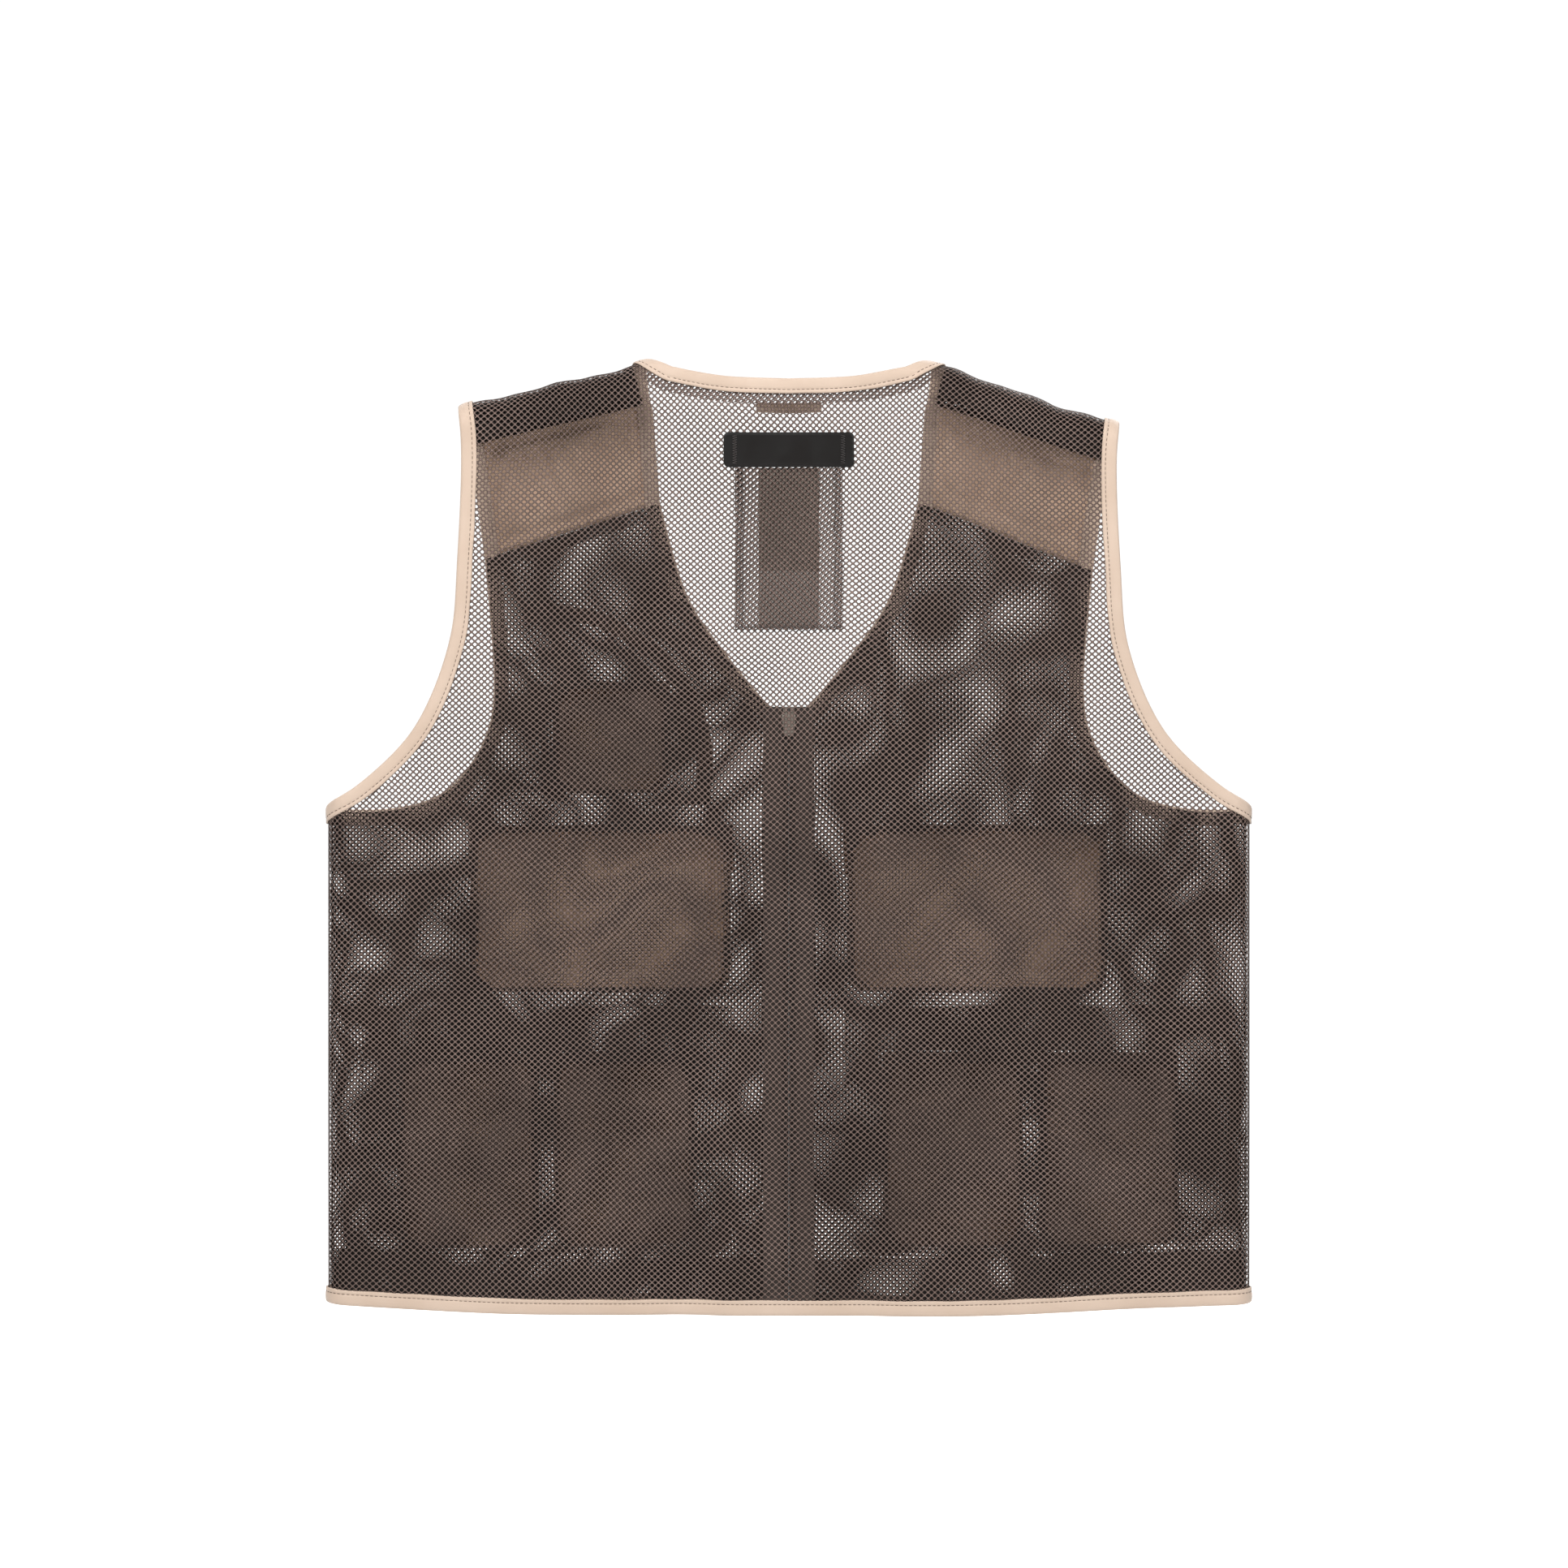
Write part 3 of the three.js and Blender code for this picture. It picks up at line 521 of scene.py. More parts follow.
class Stitches:
    """Rows of short threads, gathered in flat coordinates and made into one piece."""

    TURNS = 5

    def __init__(self):
        self.points = []
        self.faces = []

    def stitch(self, start, end, thread=THREAD, bow=0.2 * MM):
        """One thread from start to end, round in section, bowed up in the middle."""
        start, end = Vector(start), Vector(end)
        along = (end - start).normalized()
        aside = Vector((-along.y, along.x, 0))
        if aside.length < 0.1:
            aside = Vector((1, 0, 0))
        aside.normalize()
        out = along.cross(aside)
        first = len(self.points)
        self.points.append(tuple(start))
        for share in (0.18, 0.82):
            centre = start.lerp(end, share) + Vector((0, 0, bow * math.copysign(1, start.z)))
            for i in range(self.TURNS):
                turn = 2 * math.pi * i / self.TURNS
                spot = centre + (aside * math.cos(turn) + out * math.sin(turn)) * thread / 2
                self.points.append(tuple(spot))
        self.points.append(tuple(end))
        for i in range(self.TURNS):
            j = (i + 1) % self.TURNS
            near, far = first + 1, first + 1 + self.TURNS
            self.faces.append((first, near + j, near + i))
            self.faces.append((near + i, near + j, far + j, far + i))
            self.faces.append((far + i, far + j, far + self.TURNS))

    def row(self, line, inset, level, first=None, last=None):
        """A row of stitches along a line, set in from it; level is a number or a surface."""
        spine = even(line, STITCH_PITCH)
        ways = tangents(spine, first, last)
        for spot, way in zip(spine[:-1], ways[:-1]):
            middle = spot + way * STITCH_PITCH / 2 + Vector((-way.y, way.x)) * inset
            height = level(middle.x, middle.y) if callable(level) else level
            half = way * STITCH_LENGTH / 2
            self.stitch((*(middle - half), height), (*(middle + half), height))

    def both_sides(self, line, first=None, last=None, level=None):
        """Stitches on top of a tape, and underneath too where nothing is below it."""
        self.row(line, STITCH_INSET, lifted(level, STITCH_RISE) if level else STITCH_RISE, first, last)
        if level is None:
            self.row(line, STITCH_INSET, -STITCH_RISE, first, last)

    def made(self, name, lay):
        return faced_out(make_piece(name, lay(np.array(self.points)), self.faces))


def ribbon(name, line, inner, outer, level, shift=(0, 0)):
    """A narrow flat strip of cloth between two distances in from a line."""
    spine = even(line, EDGE_STEP)
    rows = max(int(round((outer - inner) / (2 * MM))), 1)
    points = []
    for spot, way in zip(spine, tangents(spine)):
        for row in range(rows + 1):
            place = spot + Vector((-way.y, way.x)) * (inner + (outer - inner) * row / rows)
            points.append((place.x, place.y, level))
    count = rows + 1
    faces = [
        (s * count + r, (s + 1) * count + r, (s + 1) * count + r + 1, s * count + r + 1)
        for s in range(len(spine) - 1)
        for r in range(rows)
    ]
    points = np.array(points)
    return make_piece(name, points, faces, flat=points[:, :2] + np.array(shift))


# ---- Crumpled cloth
CRUMPLE_FRAMES = 22


def crumple(piece, held, pressure, slack, cap):
    """Lets the loose part of a piece buckle and swell a little, no further than the cap."""
    rest = coordinates(piece)
    group = piece.vertex_groups.new(name="sewn")
    group.add([int(i) for i in np.nonzero(held)[0]], 1.0, "REPLACE")
    cloth = piece.modifiers.new("crumple", "CLOTH")
    for setting, value in (
        ("vertex_group_mass", group.name), ("quality", 6), ("mass", 0.08), ("tension_stiffness", 12),
        ("compression_stiffness", 12), ("shear_stiffness", 6), ("bending_stiffness", 0.02),
        ("shrink_min", slack), ("use_pressure", True), ("uniform_pressure_force", pressure),
    ):
        setattr(cloth.settings, setting, value)
    cloth.settings.effector_weights.gravity = 0
    cloth.collision_settings.use_collision = False
    cloth.point_cache.frame_start = 1
    cloth.point_cache.frame_end = CRUMPLE_FRAMES
    scene = bpy.context.scene
    for step in range(1, CRUMPLE_FRAMES + 1):
        scene.frame_set(step)
    shaped = piece.evaluated_get(bpy.context.evaluated_depsgraph_get())
    moved = np.zeros(len(rest) * 3, np.float32)
    shaped.data.vertices.foreach_get("co", moved)
    shift = moved.reshape(-1, 3) - rest
    length = np.maximum(np.linalg.norm(shift, axis=1), 1e-9)
    shift *= (cap * np.tanh(length / cap) / length)[:, None]
    piece.modifiers.remove(cloth)
    piece.vertex_groups.clear()
    scene.frame_set(1)
    set_coordinates(piece, rest + shift)


# ---- Finishes
class Nodes:
    """Adds nodes to a tree and joins them."""

    def __init__(self, tree):
        self.tree = tree

    def add(self, kind, **settings):
        node = self.tree.nodes.new("ShaderNode" + kind)
        for name, value in settings.items():
            setattr(node, name, value)
        return node

    def feed(self, socket, value):
        if isinstance(value, bpy.types.NodeSocket):
            self.tree.links.new(value, socket)
        else:
            socket.default_value = value

    def math(self, operation, *values):
        node = self.add("Math", operation=operation)
        for socket, value in zip(node.inputs, values):
            self.feed(socket, value)
        return node.outputs[0]

    def span(self, value, low, high, to_low=0.0, to_high=1.0):
        node = self.add("MapRange", interpolation_type="SMOOTHSTEP")
        for socket, given in zip(node.inputs, (value, low, high, to_low, to_high)):
            self.feed(socket, given)
        return node.outputs[0]

    def mix(self, share, first, second):
        node = self.add("Mix", data_type="RGBA")
        self.feed(node.inputs[0], share)
        self.feed(node.inputs[6], first)
        self.feed(node.inputs[7], second)
        return node.outputs[2]

    def noise(self, place, scale, detail=2.0):
        node = self.add("TexNoise")
        self.feed(node.inputs["Vector"], place)
        self.feed(node.inputs["Scale"], scale)
        self.feed(node.inputs["Detail"], detail)
        return node.outputs["Fac"]

    def split(self, place):
        node = self.add("SeparateXYZ")
        self.feed(node.inputs[0], place)
        return node.outputs[0], node.outputs[1], node.outputs[2]

    def bump(self, height, strength, distance):
        node = self.add("Bump")
        for name, value in (("Height", height), ("Strength", strength), ("Distance", distance)):
            self.feed(node.inputs[name], value)
        return node.outputs["Normal"]

    def effect(self, group, **values):
        node = self.add("Group", node_tree=group)
        for name, value in values.items():
            self.feed(node.inputs[name.replace("_", " ").capitalize()], value)
        return node.outputs


def new_effect(name, inputs, outputs):
    """An empty shader group: inputs are (name, kind, value), outputs are (name, kind)."""
    group = bpy.data.node_groups.new(name, "ShaderNodeTree")
    for label, kind, value in inputs:
        socket = group.interface.new_socket(name=label, in_out="INPUT", socket_type=kind)
        if value is not None:
            socket.default_value = value
    for label, kind in outputs:
        group.interface.new_socket(name=label, in_out="OUTPUT", socket_type=kind)
    given = group.nodes.new("NodeGroupInput").outputs
    wanted = group.nodes.new("NodeGroupOutput").inputs
    return group, Nodes(group), given, wanted


NUMBER = "NodeSocketFloat"
PLACE = "NodeSocketVector"


def make_net_effect():
    """The net's rounded-diamond holes and the roundness of the yarn between them."""
    group, nodes, given, wanted = new_effect(
        "net_holes",
        (("Place", PLACE, None), ("Cell width", NUMBER, 4.32 * MM), ("Cell height", NUMBER, 4 * MM),
         ("Hole", NUMBER, 0.376)),
        (("Yarn", NUMBER), ("Height", NUMBER)),
    )
    across, up, _ = nodes.split(given["Place"])
    p, q = (
        nodes.math("MULTIPLY_ADD", nodes.noise(given["Place"], scale, 1.0), 3.0,
                   nodes.math("DIVIDE", way, given[size]))
        for way, size, scale in ((across, "Cell width", 9.0), (up, "Cell height", 7.0))
    )
    rising = nodes.math("PINGPONG", nodes.math("ADD", p, q), 0.5)
    falling = nodes.math("PINGPONG", nodes.math("SUBTRACT", p, q), 0.5)
    cubes = nodes.math("ADD", nodes.math("POWER", rising, 3.0), nodes.math("POWER", falling, 3.0))
    out = nodes.math("POWER", cubes, 1 / 3)
    edge = nodes.math("ADD", given["Hole"], 0.03)
    nodes.feed(wanted["Yarn"], nodes.span(out, given["Hole"], edge))
    round_yarn = nodes.span(out, given["Hole"], 0.52)
    slant = nodes.math("ADD", p, nodes.math("MULTIPLY", q, 0.4))
    loops = nodes.math("SINE", nodes.math("MULTIPLY", slant, 37.0))
    nodes.feed(wanted["Height"], nodes.math("MULTIPLY_ADD", loops, 0.12, round_yarn))
    return group


def make_weave_effect():
    """Plain weave: threads over and under each other, a pitch apart."""
    group, nodes, given, wanted = new_effect(
        "plain_weave",
        (("Place", PLACE, None), ("Pitch", NUMBER, 0.6 * MM)),
        (("Height", NUMBER), ("Slub", NUMBER)),
    )
    across, up, _ = nodes.split(given["Place"])
    turn = nodes.math("DIVIDE", 2 * math.pi, given["Pitch"])
    warp = nodes.math("SINE", nodes.math("MULTIPLY", across, turn))
    weft = nodes.math("SINE", nodes.math("MULTIPLY", up, turn))
    nodes.feed(wanted["Height"], nodes.math("MULTIPLY_ADD", nodes.math("MULTIPLY", warp, weft), 0.5, 0.5))
    stretched = nodes.add("Mapping")
    nodes.feed(stretched.inputs["Vector"], given["Place"])
    stretched.inputs["Scale"].default_value = (1400, 90, 90)
    nodes.feed(wanted["Slub"], nodes.noise(stretched.outputs[0], 1.0, 2.0))
    return group


def make_uneven_effect():
    """Slow and quick unevenness, for colour and gloss."""
    group, nodes, given, wanted = new_effect(
        "uneven_tone",
        (("Place", PLACE, None), ("Size", NUMBER, 0.06)),
        (("Broad", NUMBER), ("Fine", NUMBER)),
    )
    scale = nodes.math("DIVIDE", 1.0, given["Size"])
    nodes.feed(wanted["Broad"], nodes.span(nodes.noise(given["Place"], scale, 3.0), 0.3, 0.7))
    fine = nodes.math("MULTIPLY", scale, 14.0)
    nodes.feed(wanted["Fine"], nodes.span(nodes.noise(given["Place"], fine, 2.0), 0.3, 0.7))
    return group


def make_wear_effect():
    """Small scuffs and chips on hard parts."""
    group, nodes, given, wanted = new_effect(
        "scuffs",
        (("Place", PLACE, None), ("Amount", NUMBER, 0.5)),
        (("Scuff", NUMBER), ("Grain", NUMBER)),
    )
    chips = nodes.noise(given["Place"], 900.0, 4.0)
    bar = nodes.math("SUBTRACT", 0.78, nodes.math("MULTIPLY", given["Amount"], 0.25))
    nodes.feed(wanted["Scuff"], nodes.span(chips, bar, nodes.math("ADD", bar, 0.06)))
    nodes.feed(wanted["Grain"], nodes.noise(given["Place"], 4000.0, 2.0))
    return group


NET_HOLES = make_net_effect()
WEAVE = make_weave_effect()
UNEVEN = make_uneven_effect()
SCUFFS = make_wear_effect()


def new_finish(name, roughness=0.7, metallic=0.0, sheen=0.0, specular=0.5):
    finish = bpy.data.materials.new(name)
    finish.use_nodes = True
    nodes = Nodes(finish.node_tree)
    shader = finish.node_tree.nodes["Principled BSDF"]
    shader.inputs["Roughness"].default_value = roughness
    shader.inputs["Metallic"].default_value = metallic
    shader.inputs["Sheen Weight"].default_value = sheen
    shader.inputs["Specular IOR Level"].default_value = specular
    return finish, nodes, shader.inputs


def wire(nodes, shader, base, gloss, rough, relief, strength, depth):
    """Joins a finish's colour, its roughness between two values, and its relief."""
    nodes.feed(shader["Base Color"], base)
    nodes.feed(shader["Roughness"], nodes.span(gloss, 0.0, 1.0, *rough))
    nodes.feed(shader["Normal"], nodes.bump(relief, strength, depth))


def flat_place(nodes):
    return nodes.add("UVMap", uv_map="flat").outputs[0]


def solid_place(nodes):
    return nodes.add("TexCoord").outputs["Object"]


def colour(red, green, blue):
    """A colour given in sRGB steps of 255, as the linear one that a shader takes."""
    def linear(step):
        return step / 255 / 12.92 if step <= 10 else ((step / 255 + 0.055) / 1.055) ** 2.4

    return linear(red), linear(green), linear(blue), 1


def make_net_finish(name, hole, pale, deep):
    finish, nodes, shader = new_finish(name, roughness=0.62, sheen=0.0, specular=0.2)
    place = flat_place(nodes)
    net = nodes.effect(NET_HOLES, place=place, hole=hole)
    tone = nodes.effect(UNEVEN, place=place, size=0.09)
    yarn = nodes.mix(nodes.math("MULTIPLY", tone["Broad"], 0.6), pale, deep)
    yarn = nodes.mix(nodes.math("MULTIPLY", tone["Fine"], 0.35), yarn, deep)
    # painted shade: the yarn's colour is mixed towards near black by its height, so its round sides darken
    # towards the holes as if turned from the light
    shaded = nodes.mix(net["Height"], colour(34, 28, 26), yarn)
    # the yarn is round, so a net seen along its face closes up
    facing = nodes.add("LayerWeight").outputs["Facing"]
    nodes.feed(shader["Alpha"], nodes.math("MAXIMUM", net["Yarn"], nodes.span(facing, 0.5, 0.82)))
    wire(nodes, shader, shaded, tone["Broad"], (0.56, 0.7), net["Height"], 0.7, 0.5 * MM)
    return finish


def make_cloth_finish(name, pale, deep, roughness, pitch=0.6 * MM):
    finish, nodes, shader = new_finish(name, roughness=roughness, sheen=0.3)
    place = flat_place(nodes)
    weave = nodes.effect(WEAVE, place=place, pitch=pitch)
    tone = nodes.effect(UNEVEN, place=place, size=0.05)
    base = nodes.mix(tone["Broad"], pale, deep)
    threads = nodes.mix(nodes.math("MULTIPLY", weave["Slub"], 0.25), base, deep)
    between = nodes.mix(nodes.math("MULTIPLY", weave["Height"], 0.22), threads, deep)
    height = nodes.math("MULTIPLY_ADD", weave["Slub"], 0.6, weave["Height"])
    rough = (roughness - 0.07, roughness + 0.07)
    wire(nodes, shader, between, tone["Fine"], rough, height, 0.35, 0.15 * MM)
    return finish


def make_satin_finish(name, pale, deep, clear=1.0):
    finish, nodes, shader = new_finish(name, roughness=0.4, sheen=0.1, specular=0.25)
    place = flat_place(nodes)
    tone = nodes.effect(UNEVEN, place=place, size=0.03)
    up = nodes.split(place)[1]
    ribs = nodes.math("SINE", nodes.math("MULTIPLY", up, 2 * math.pi / (0.5 * MM)))
    ribs = nodes.math("MULTIPLY_ADD", ribs, 0.5, 0.5)
    base = nodes.mix(tone["Broad"], pale, deep)
    ribbed = nodes.mix(nodes.math("MULTIPLY", ribs, 0.3), base, deep)
    wire(nodes, shader, ribbed, tone["Broad"], (0.3, 0.46), ribs, 0.25, 0.1 * MM)
    shader["Alpha"].default_value = clear
    return finish


def make_tape_finish():
    """Woven zip tape: a herringbone whose slant changes side every few threads."""
    finish, nodes, shader = new_finish("zip_tape_weave", roughness=0.8, sheen=0.2)
    place = flat_place(nodes)
    across, up, _ = nodes.split(place)
    fold = nodes.math("PINGPONG", nodes.math("DIVIDE", across, 2.2 * MM), 0.5)
    slant = nodes.math("ADD", nodes.math("DIVIDE", up, 1.1 * MM), nodes.math("MULTIPLY", fold, 2.0))
    rib = nodes.math("SINE", nodes.math("MULTIPLY", slant, 2 * math.pi))
    rib = nodes.math("MULTIPLY_ADD", rib, 0.5, 0.5)
    tone = nodes.effect(UNEVEN, place=place, size=0.04)
    base = nodes.mix(tone["Broad"], colour(66, 56, 51), colour(80, 68, 62))
    ribbed = nodes.mix(nodes.math("MULTIPLY", rib, 0.6), base, colour(40, 33, 30))
    wire(nodes, shader, ribbed, tone["Fine"], (0.74, 0.86), rib, 0.5, 0.2 * MM)
    return finish


def make_pile_finish():
    """Hook-and-loop: a short tangled pile."""
    finish, nodes, shader = new_finish("pile", roughness=0.9, sheen=0.5)
    place = solid_place(nodes)
    tangle = nodes.noise(place, 1500.0, 3.0)
    tone = nodes.effect(UNEVEN, place=place, size=0.02)
    pile = nodes.mix(tangle, colour(150, 122, 100), colour(206, 176, 148))
    wire(nodes, shader, pile, tone["Fine"], (0.84, 0.95), tangle, 0.8, 0.5 * MM)
    return finish


def make_hard_finish(name, pale, deep, bare, roughness, metallic, amount):
    finish, nodes, shader = new_finish(name, roughness=roughness, metallic=metallic)
    place = solid_place(nodes)
    tone = nodes.effect(UNEVEN, place=place, size=0.012)
    wear = nodes.effect(SCUFFS, place=place, amount=amount)
    base = nodes.mix(tone["Broad"], pale, deep)
    rough = (roughness - 0.08, roughness + 0.08)
    scuffed = nodes.mix(wear["Scuff"], base, bare)
    wire(nodes, shader, scuffed, tone["Broad"], rough, wear["Grain"], 0.15, 0.05 * MM)
    return finish


NET = make_net_finish("net", 0.334, colour(144, 122, 113), colour(102, 86, 79))
# painted shade: the back's net with darker yarn, a shaded copy for the fronts and their pockets, which lie in
# the back net's shade
NET_CLOSE_SHADED = make_net_finish("close_net", 0.345, colour(118, 101, 93), colour(84, 71, 64))
# painted shade: an inner layer of net whose yarn is painted near black, so the layers behind the outer net
# read as dark holes; the hem facings and shoulder linings use it too
NET_LINING_SHADE = make_net_finish("lining_net", 0.19, colour(34, 28, 25), colour(22, 18, 16))
TAN = make_cloth_finish("tan_cloth_weave", colour(236, 202, 174), colour(218, 184, 156), 0.38)
BINDING = make_cloth_finish("tan_binding_weave", colour(217, 194, 175), colour(207, 183, 163), 0.62, 0.7 * MM)
LABEL = make_satin_finish("label_weave", colour(29, 26, 25), colour(20, 18, 17))
CARE = make_satin_finish("care_weave", colour(206, 196, 182), colour(186, 176, 163), 0.64)
ZIP_TAPE = make_tape_finish()
PILE = make_pile_finish()
THREAD_FINISH = make_cloth_finish("sewing_thread", colour(122, 101, 84), colour(96, 78, 64), 0.6, 0.3 * MM)
DARK_THREAD = make_cloth_finish("dark_thread", colour(64, 56, 53), colour(48, 42, 40), 0.6, 0.3 * MM)
PLASTIC = make_hard_finish(
    "moulded_plastic", colour(52, 46, 43), colour(38, 34, 32), colour(88, 80, 74), 0.42, 0.0, 0.2
)
METAL = make_hard_finish(
    "painted_metal", colour(196, 186, 174), colour(166, 156, 145), colour(228, 220, 208), 0.36, 0.45, 0.5
)

# ---- Putting a piece on the vest
BEND_FOOT = (0, 0, -0.25)


def finished(piece, finish, slot, *stands_for):
    piece.data.materials.append(finish)
    if stands_for:
        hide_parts(*stands_for)
    return piece


def on_back(piece, finish, slot, *stands_for):
    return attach(finished(piece, finish, slot, *stands_for), "back")


def on_front(word, piece, finish, slot, *stands_for):
    """What reaches up towards the shoulder stays where it is, on no body; the rest is attached to the front.
    """
    finished(piece, finish, slot, *stands_for)
    if coordinates(piece)[:, 2].max() > BEND_FOOT[2]:
        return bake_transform(piece)
    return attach(piece, f"front_{word}")


def bind(put, lay, rows, edges):
    """Binds edges, each given as a name, a line, the ways its ends point and a node."""
    tapes = []
    for name, line, ends, node in edges:
        tapes.append(put(bound_edge(name, line, lay, *ends), BINDING, "tan_binding", node))
        rows.both_sides(line, *ends)
    return tapes


def rounded_loop(left, right, low, high, foot_radius, head_radius=0.0):
    """The lines round a rectangle with rounded corners, from its upper right by its upper left.
    Where the upper corners are sharp, the first line is the top edge."""
    f, h = foot_radius, head_radius
    corners = []
    for x, y, radius, first in (
        (right - h, high - h, h, 0), (left + h, high - h, h, 90),
        (left + f, low + f, f, 180), (right - f, low + f, f, 270),
    ):
        turns = [math.radians(first + 90 * i / 8) for i in range(9)] if radius > 0 else [0.0]
        corners.append([at(x + radius * math.cos(t), y + radius * math.sin(t)) for t in turns])
    lines = []
    for corner, following in zip(corners, corners[1:] + corners[:1]):
        if len(corner) > 1:
            lines.append(corner)
        lines.append([corner[-1], following[0]])
    return lines


def rounded_outline(*sizes, spacing):
    return closed_outline(*rounded_loop(*sizes), spacing=spacing)


# ---- Back
LABEL_HALF, LABEL_TOP, LABEL_FOOT = mm(43, -19.5, -42.5)
STRIP_HALF, STRIP_TOP, STRIP_FOOT = mm(35.5, -42.8, -149.8)
LEAF_HALF = 20 * MM


def make_back():
    hem_in = hem_line(0)[::-1]
    lines = [BACK_NECK, BACK_ARM, hem_in, mirrored(hem_in), mirrored(BACK_ARM), mirrored(BACK_NECK)]
    loop = closed_outline(*lines, spacing=CLOTH_CELL)
    panel = laid(cut_cloth("back_net", loop), lay_back)
    on_back(panel, NET, "mesh_cloth", "back_panel")

    neck_line = ([*mirrored(BACK_NECK), *BACK_NECK[1:]])[::-1]
    arm_line = BACK_ARM[::-1]
    up_left, up_right = tuple(SHOULDER_UP), (-SHOULDER_UP.x, SHOULDER_UP.y)
    down_left, down_right = (-SHOULDER_UP.x, -SHOULDER_UP.y), (SHOULDER_UP.x, -SHOULDER_UP.y)
    hem = [*mirrored(hem_line(0)), *hem_line(0)[1:]]
    sewn = Stitches()
    tapes = bind(on_back, lay_back, sewn, (
        ("neck_tape_back", neck_line, (down_left, up_right), "back_neck_binding"),
        ("arm_tape_back_left", arm_line, ((-1, 0), up_left), "back_armhole_binding_left"),
        ("arm_tape_back_right", mirrored(arm_line), (down_right, (-1, 0)), "back_armhole_binding_right"),
        ("hem_tape_back", hem, ((1, 0), (1, 0)), "back_hem_binding"),
    ))
    tapes.append(on_back(sewn.made("tape_stitching_back", lay_back), THREAD_FINISH, "tan_binding"))

    for word, side in (("left", 1), ("right", -1)):
        strip = [spring_point(reach, rise) for reach, rise in (
            (NECK_HALF + 4 * MM, -6 * MM), (NECK_HALF + 4 * MM, ROLL_END + 4 * MM),
            (SHOULDER_HALF - 4 * MM, ROLL_END + 4 * MM), (SHOULDER_HALF - 4 * MM, -12 * MM),
        )]
        strip = strip if side > 0 else mirrored(strip)
        strip_loop = closed_outline(*zip(strip, strip[1:] + strip[:1]), spacing=CLOTH_CELL)
        for depth in SHOULDER_LININGS:
            name = f"shoulder_lining_{word}_{round(depth / MM * 10)}"
            doubled = cut_cloth(name, strip_loop, -depth, shift=(side * depth, 0.7 * depth))
            tapes.append(on_back(laid(doubled, lay_back), NET_LINING_SHADE, "mesh_cloth"))

    facing = ribbon("neck_facing", neck_line, *mm(9, 16, -0.6), shift=mm(1.6, 1.1))
    tapes.append(on_back(laid(facing, lay_back), NET, "mesh_cloth"))
    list(make_back_details())


def label_level(across, up):
    edge = np.minimum(LABEL_HALF - np.abs(across), np.minimum(LABEL_TOP - up, up - LABEL_FOOT))
    return 1.35 * MM + 0.3 * MM * np.exp(-edge / (1.2 * MM))


def make_back_details():
    """The label, the strip under it with its two care leaves, and the hang loop."""
    loop = rounded_outline(-LABEL_HALF, LABEL_HALF, LABEL_FOOT, LABEL_TOP, *mm(3, 3), spacing=1.6 * MM)
    label = thicken(laid(cut_cloth("neck_patch", loop, label_level, 2 * MM), lay_back), 0.7 * MM)
    made = [on_back(faced_out(label), LABEL, "label_satin", "neck_label")]

    sewn = Stitches()
    for side in (-1, 1):
        inner, outer = side * 34.2 * MM, side * 37.2 * MM
        up = LABEL_FOOT + 2 * MM
        while up < LABEL_TOP - 3 * MM:
            for start, from_up, end, to_up in ((inner, 0, outer, 0.7), (outer, 0.8, inner, 1.5)):
                near = (start, up + from_up * MM, 1.95 * MM)
                sewn.stitch(near, (end, up + to_up * MM, 1.95 * MM), *mm(0.4, 0.1))
            up += 1.6 * MM
    made.append(on_back(sewn.made("patch_stitching", lay_back), DARK_THREAD, "label_satin"))

    loop = rounded_outline(-STRIP_HALF, STRIP_HALF, STRIP_FOOT, STRIP_TOP, 1 * MM, spacing=CLOTH_CELL)
    strip = cut_cloth("neck_strip", loop, 1.4 * MM, shift=mm(0.9, 0.7))
    made.append(on_back(laid(strip, lay_back), NET, "mesh_cloth", "back_strip"))
    sides = [at(-STRIP_HALF, STRIP_TOP), at(-STRIP_HALF, STRIP_FOOT)]
    edge = [*sides, *mirrored(sides)]
    for name, line, width in (
        ("left", edge[2:], 5.6 * MM), ("foot", edge[1:3], 3 * MM), ("right", edge[:2], 5.6 * MM),
    ):
        for layer, (level, shift) in enumerate((mm(0.7, 2.3), mm(1.9, 1.2))):
            name_of_layer = f"strip_fold_{name}_{layer}"
            band = ribbon(name_of_layer, line, 0.0, width, level, shift=(shift, 0.7 * shift))
            made.append(on_back(laid(band, lay_back), NET, "mesh_cloth"))
    sewn = Stitches()
    for line, inset in ((edge[:2], 5), (edge[2:], 5), (edge[1:3], 2)):
        sewn.row(line, *mm(inset, 2.2))
    made.append(on_back(sewn.made("strip_stitching", lay_back), DARK_THREAD, "mesh_cloth"))

    for word, foot, level, lean in (("long", -148.8, -1.3, 0.9), ("short", -110.8, -2.4, 2.3)):
        def leaf_level(across, up, level=level, lean=lean):
            hang = (STRIP_TOP - up) / (100 * MM)
            return level * MM - 0.5 * MM * hang * (1 + np.sin(up / (11 * MM) + across / (23 * MM) + lean))

        size = (-LEAF_HALF, LEAF_HALF, foot * MM, STRIP_TOP, 0.6 * MM)
        loop = rounded_outline(*size, spacing=POCKET_CELL)
        leaf = laid(cut_cloth(f"care_leaf_{word}", loop, leaf_level, POCKET_CELL), lay_back)
        thicken(leaf, 0.25 * MM)
        made.append(on_back(faced_out(leaf), CARE, "care_satin", f"care_label_{word}"))
    return [*made, make_hang_loop()]


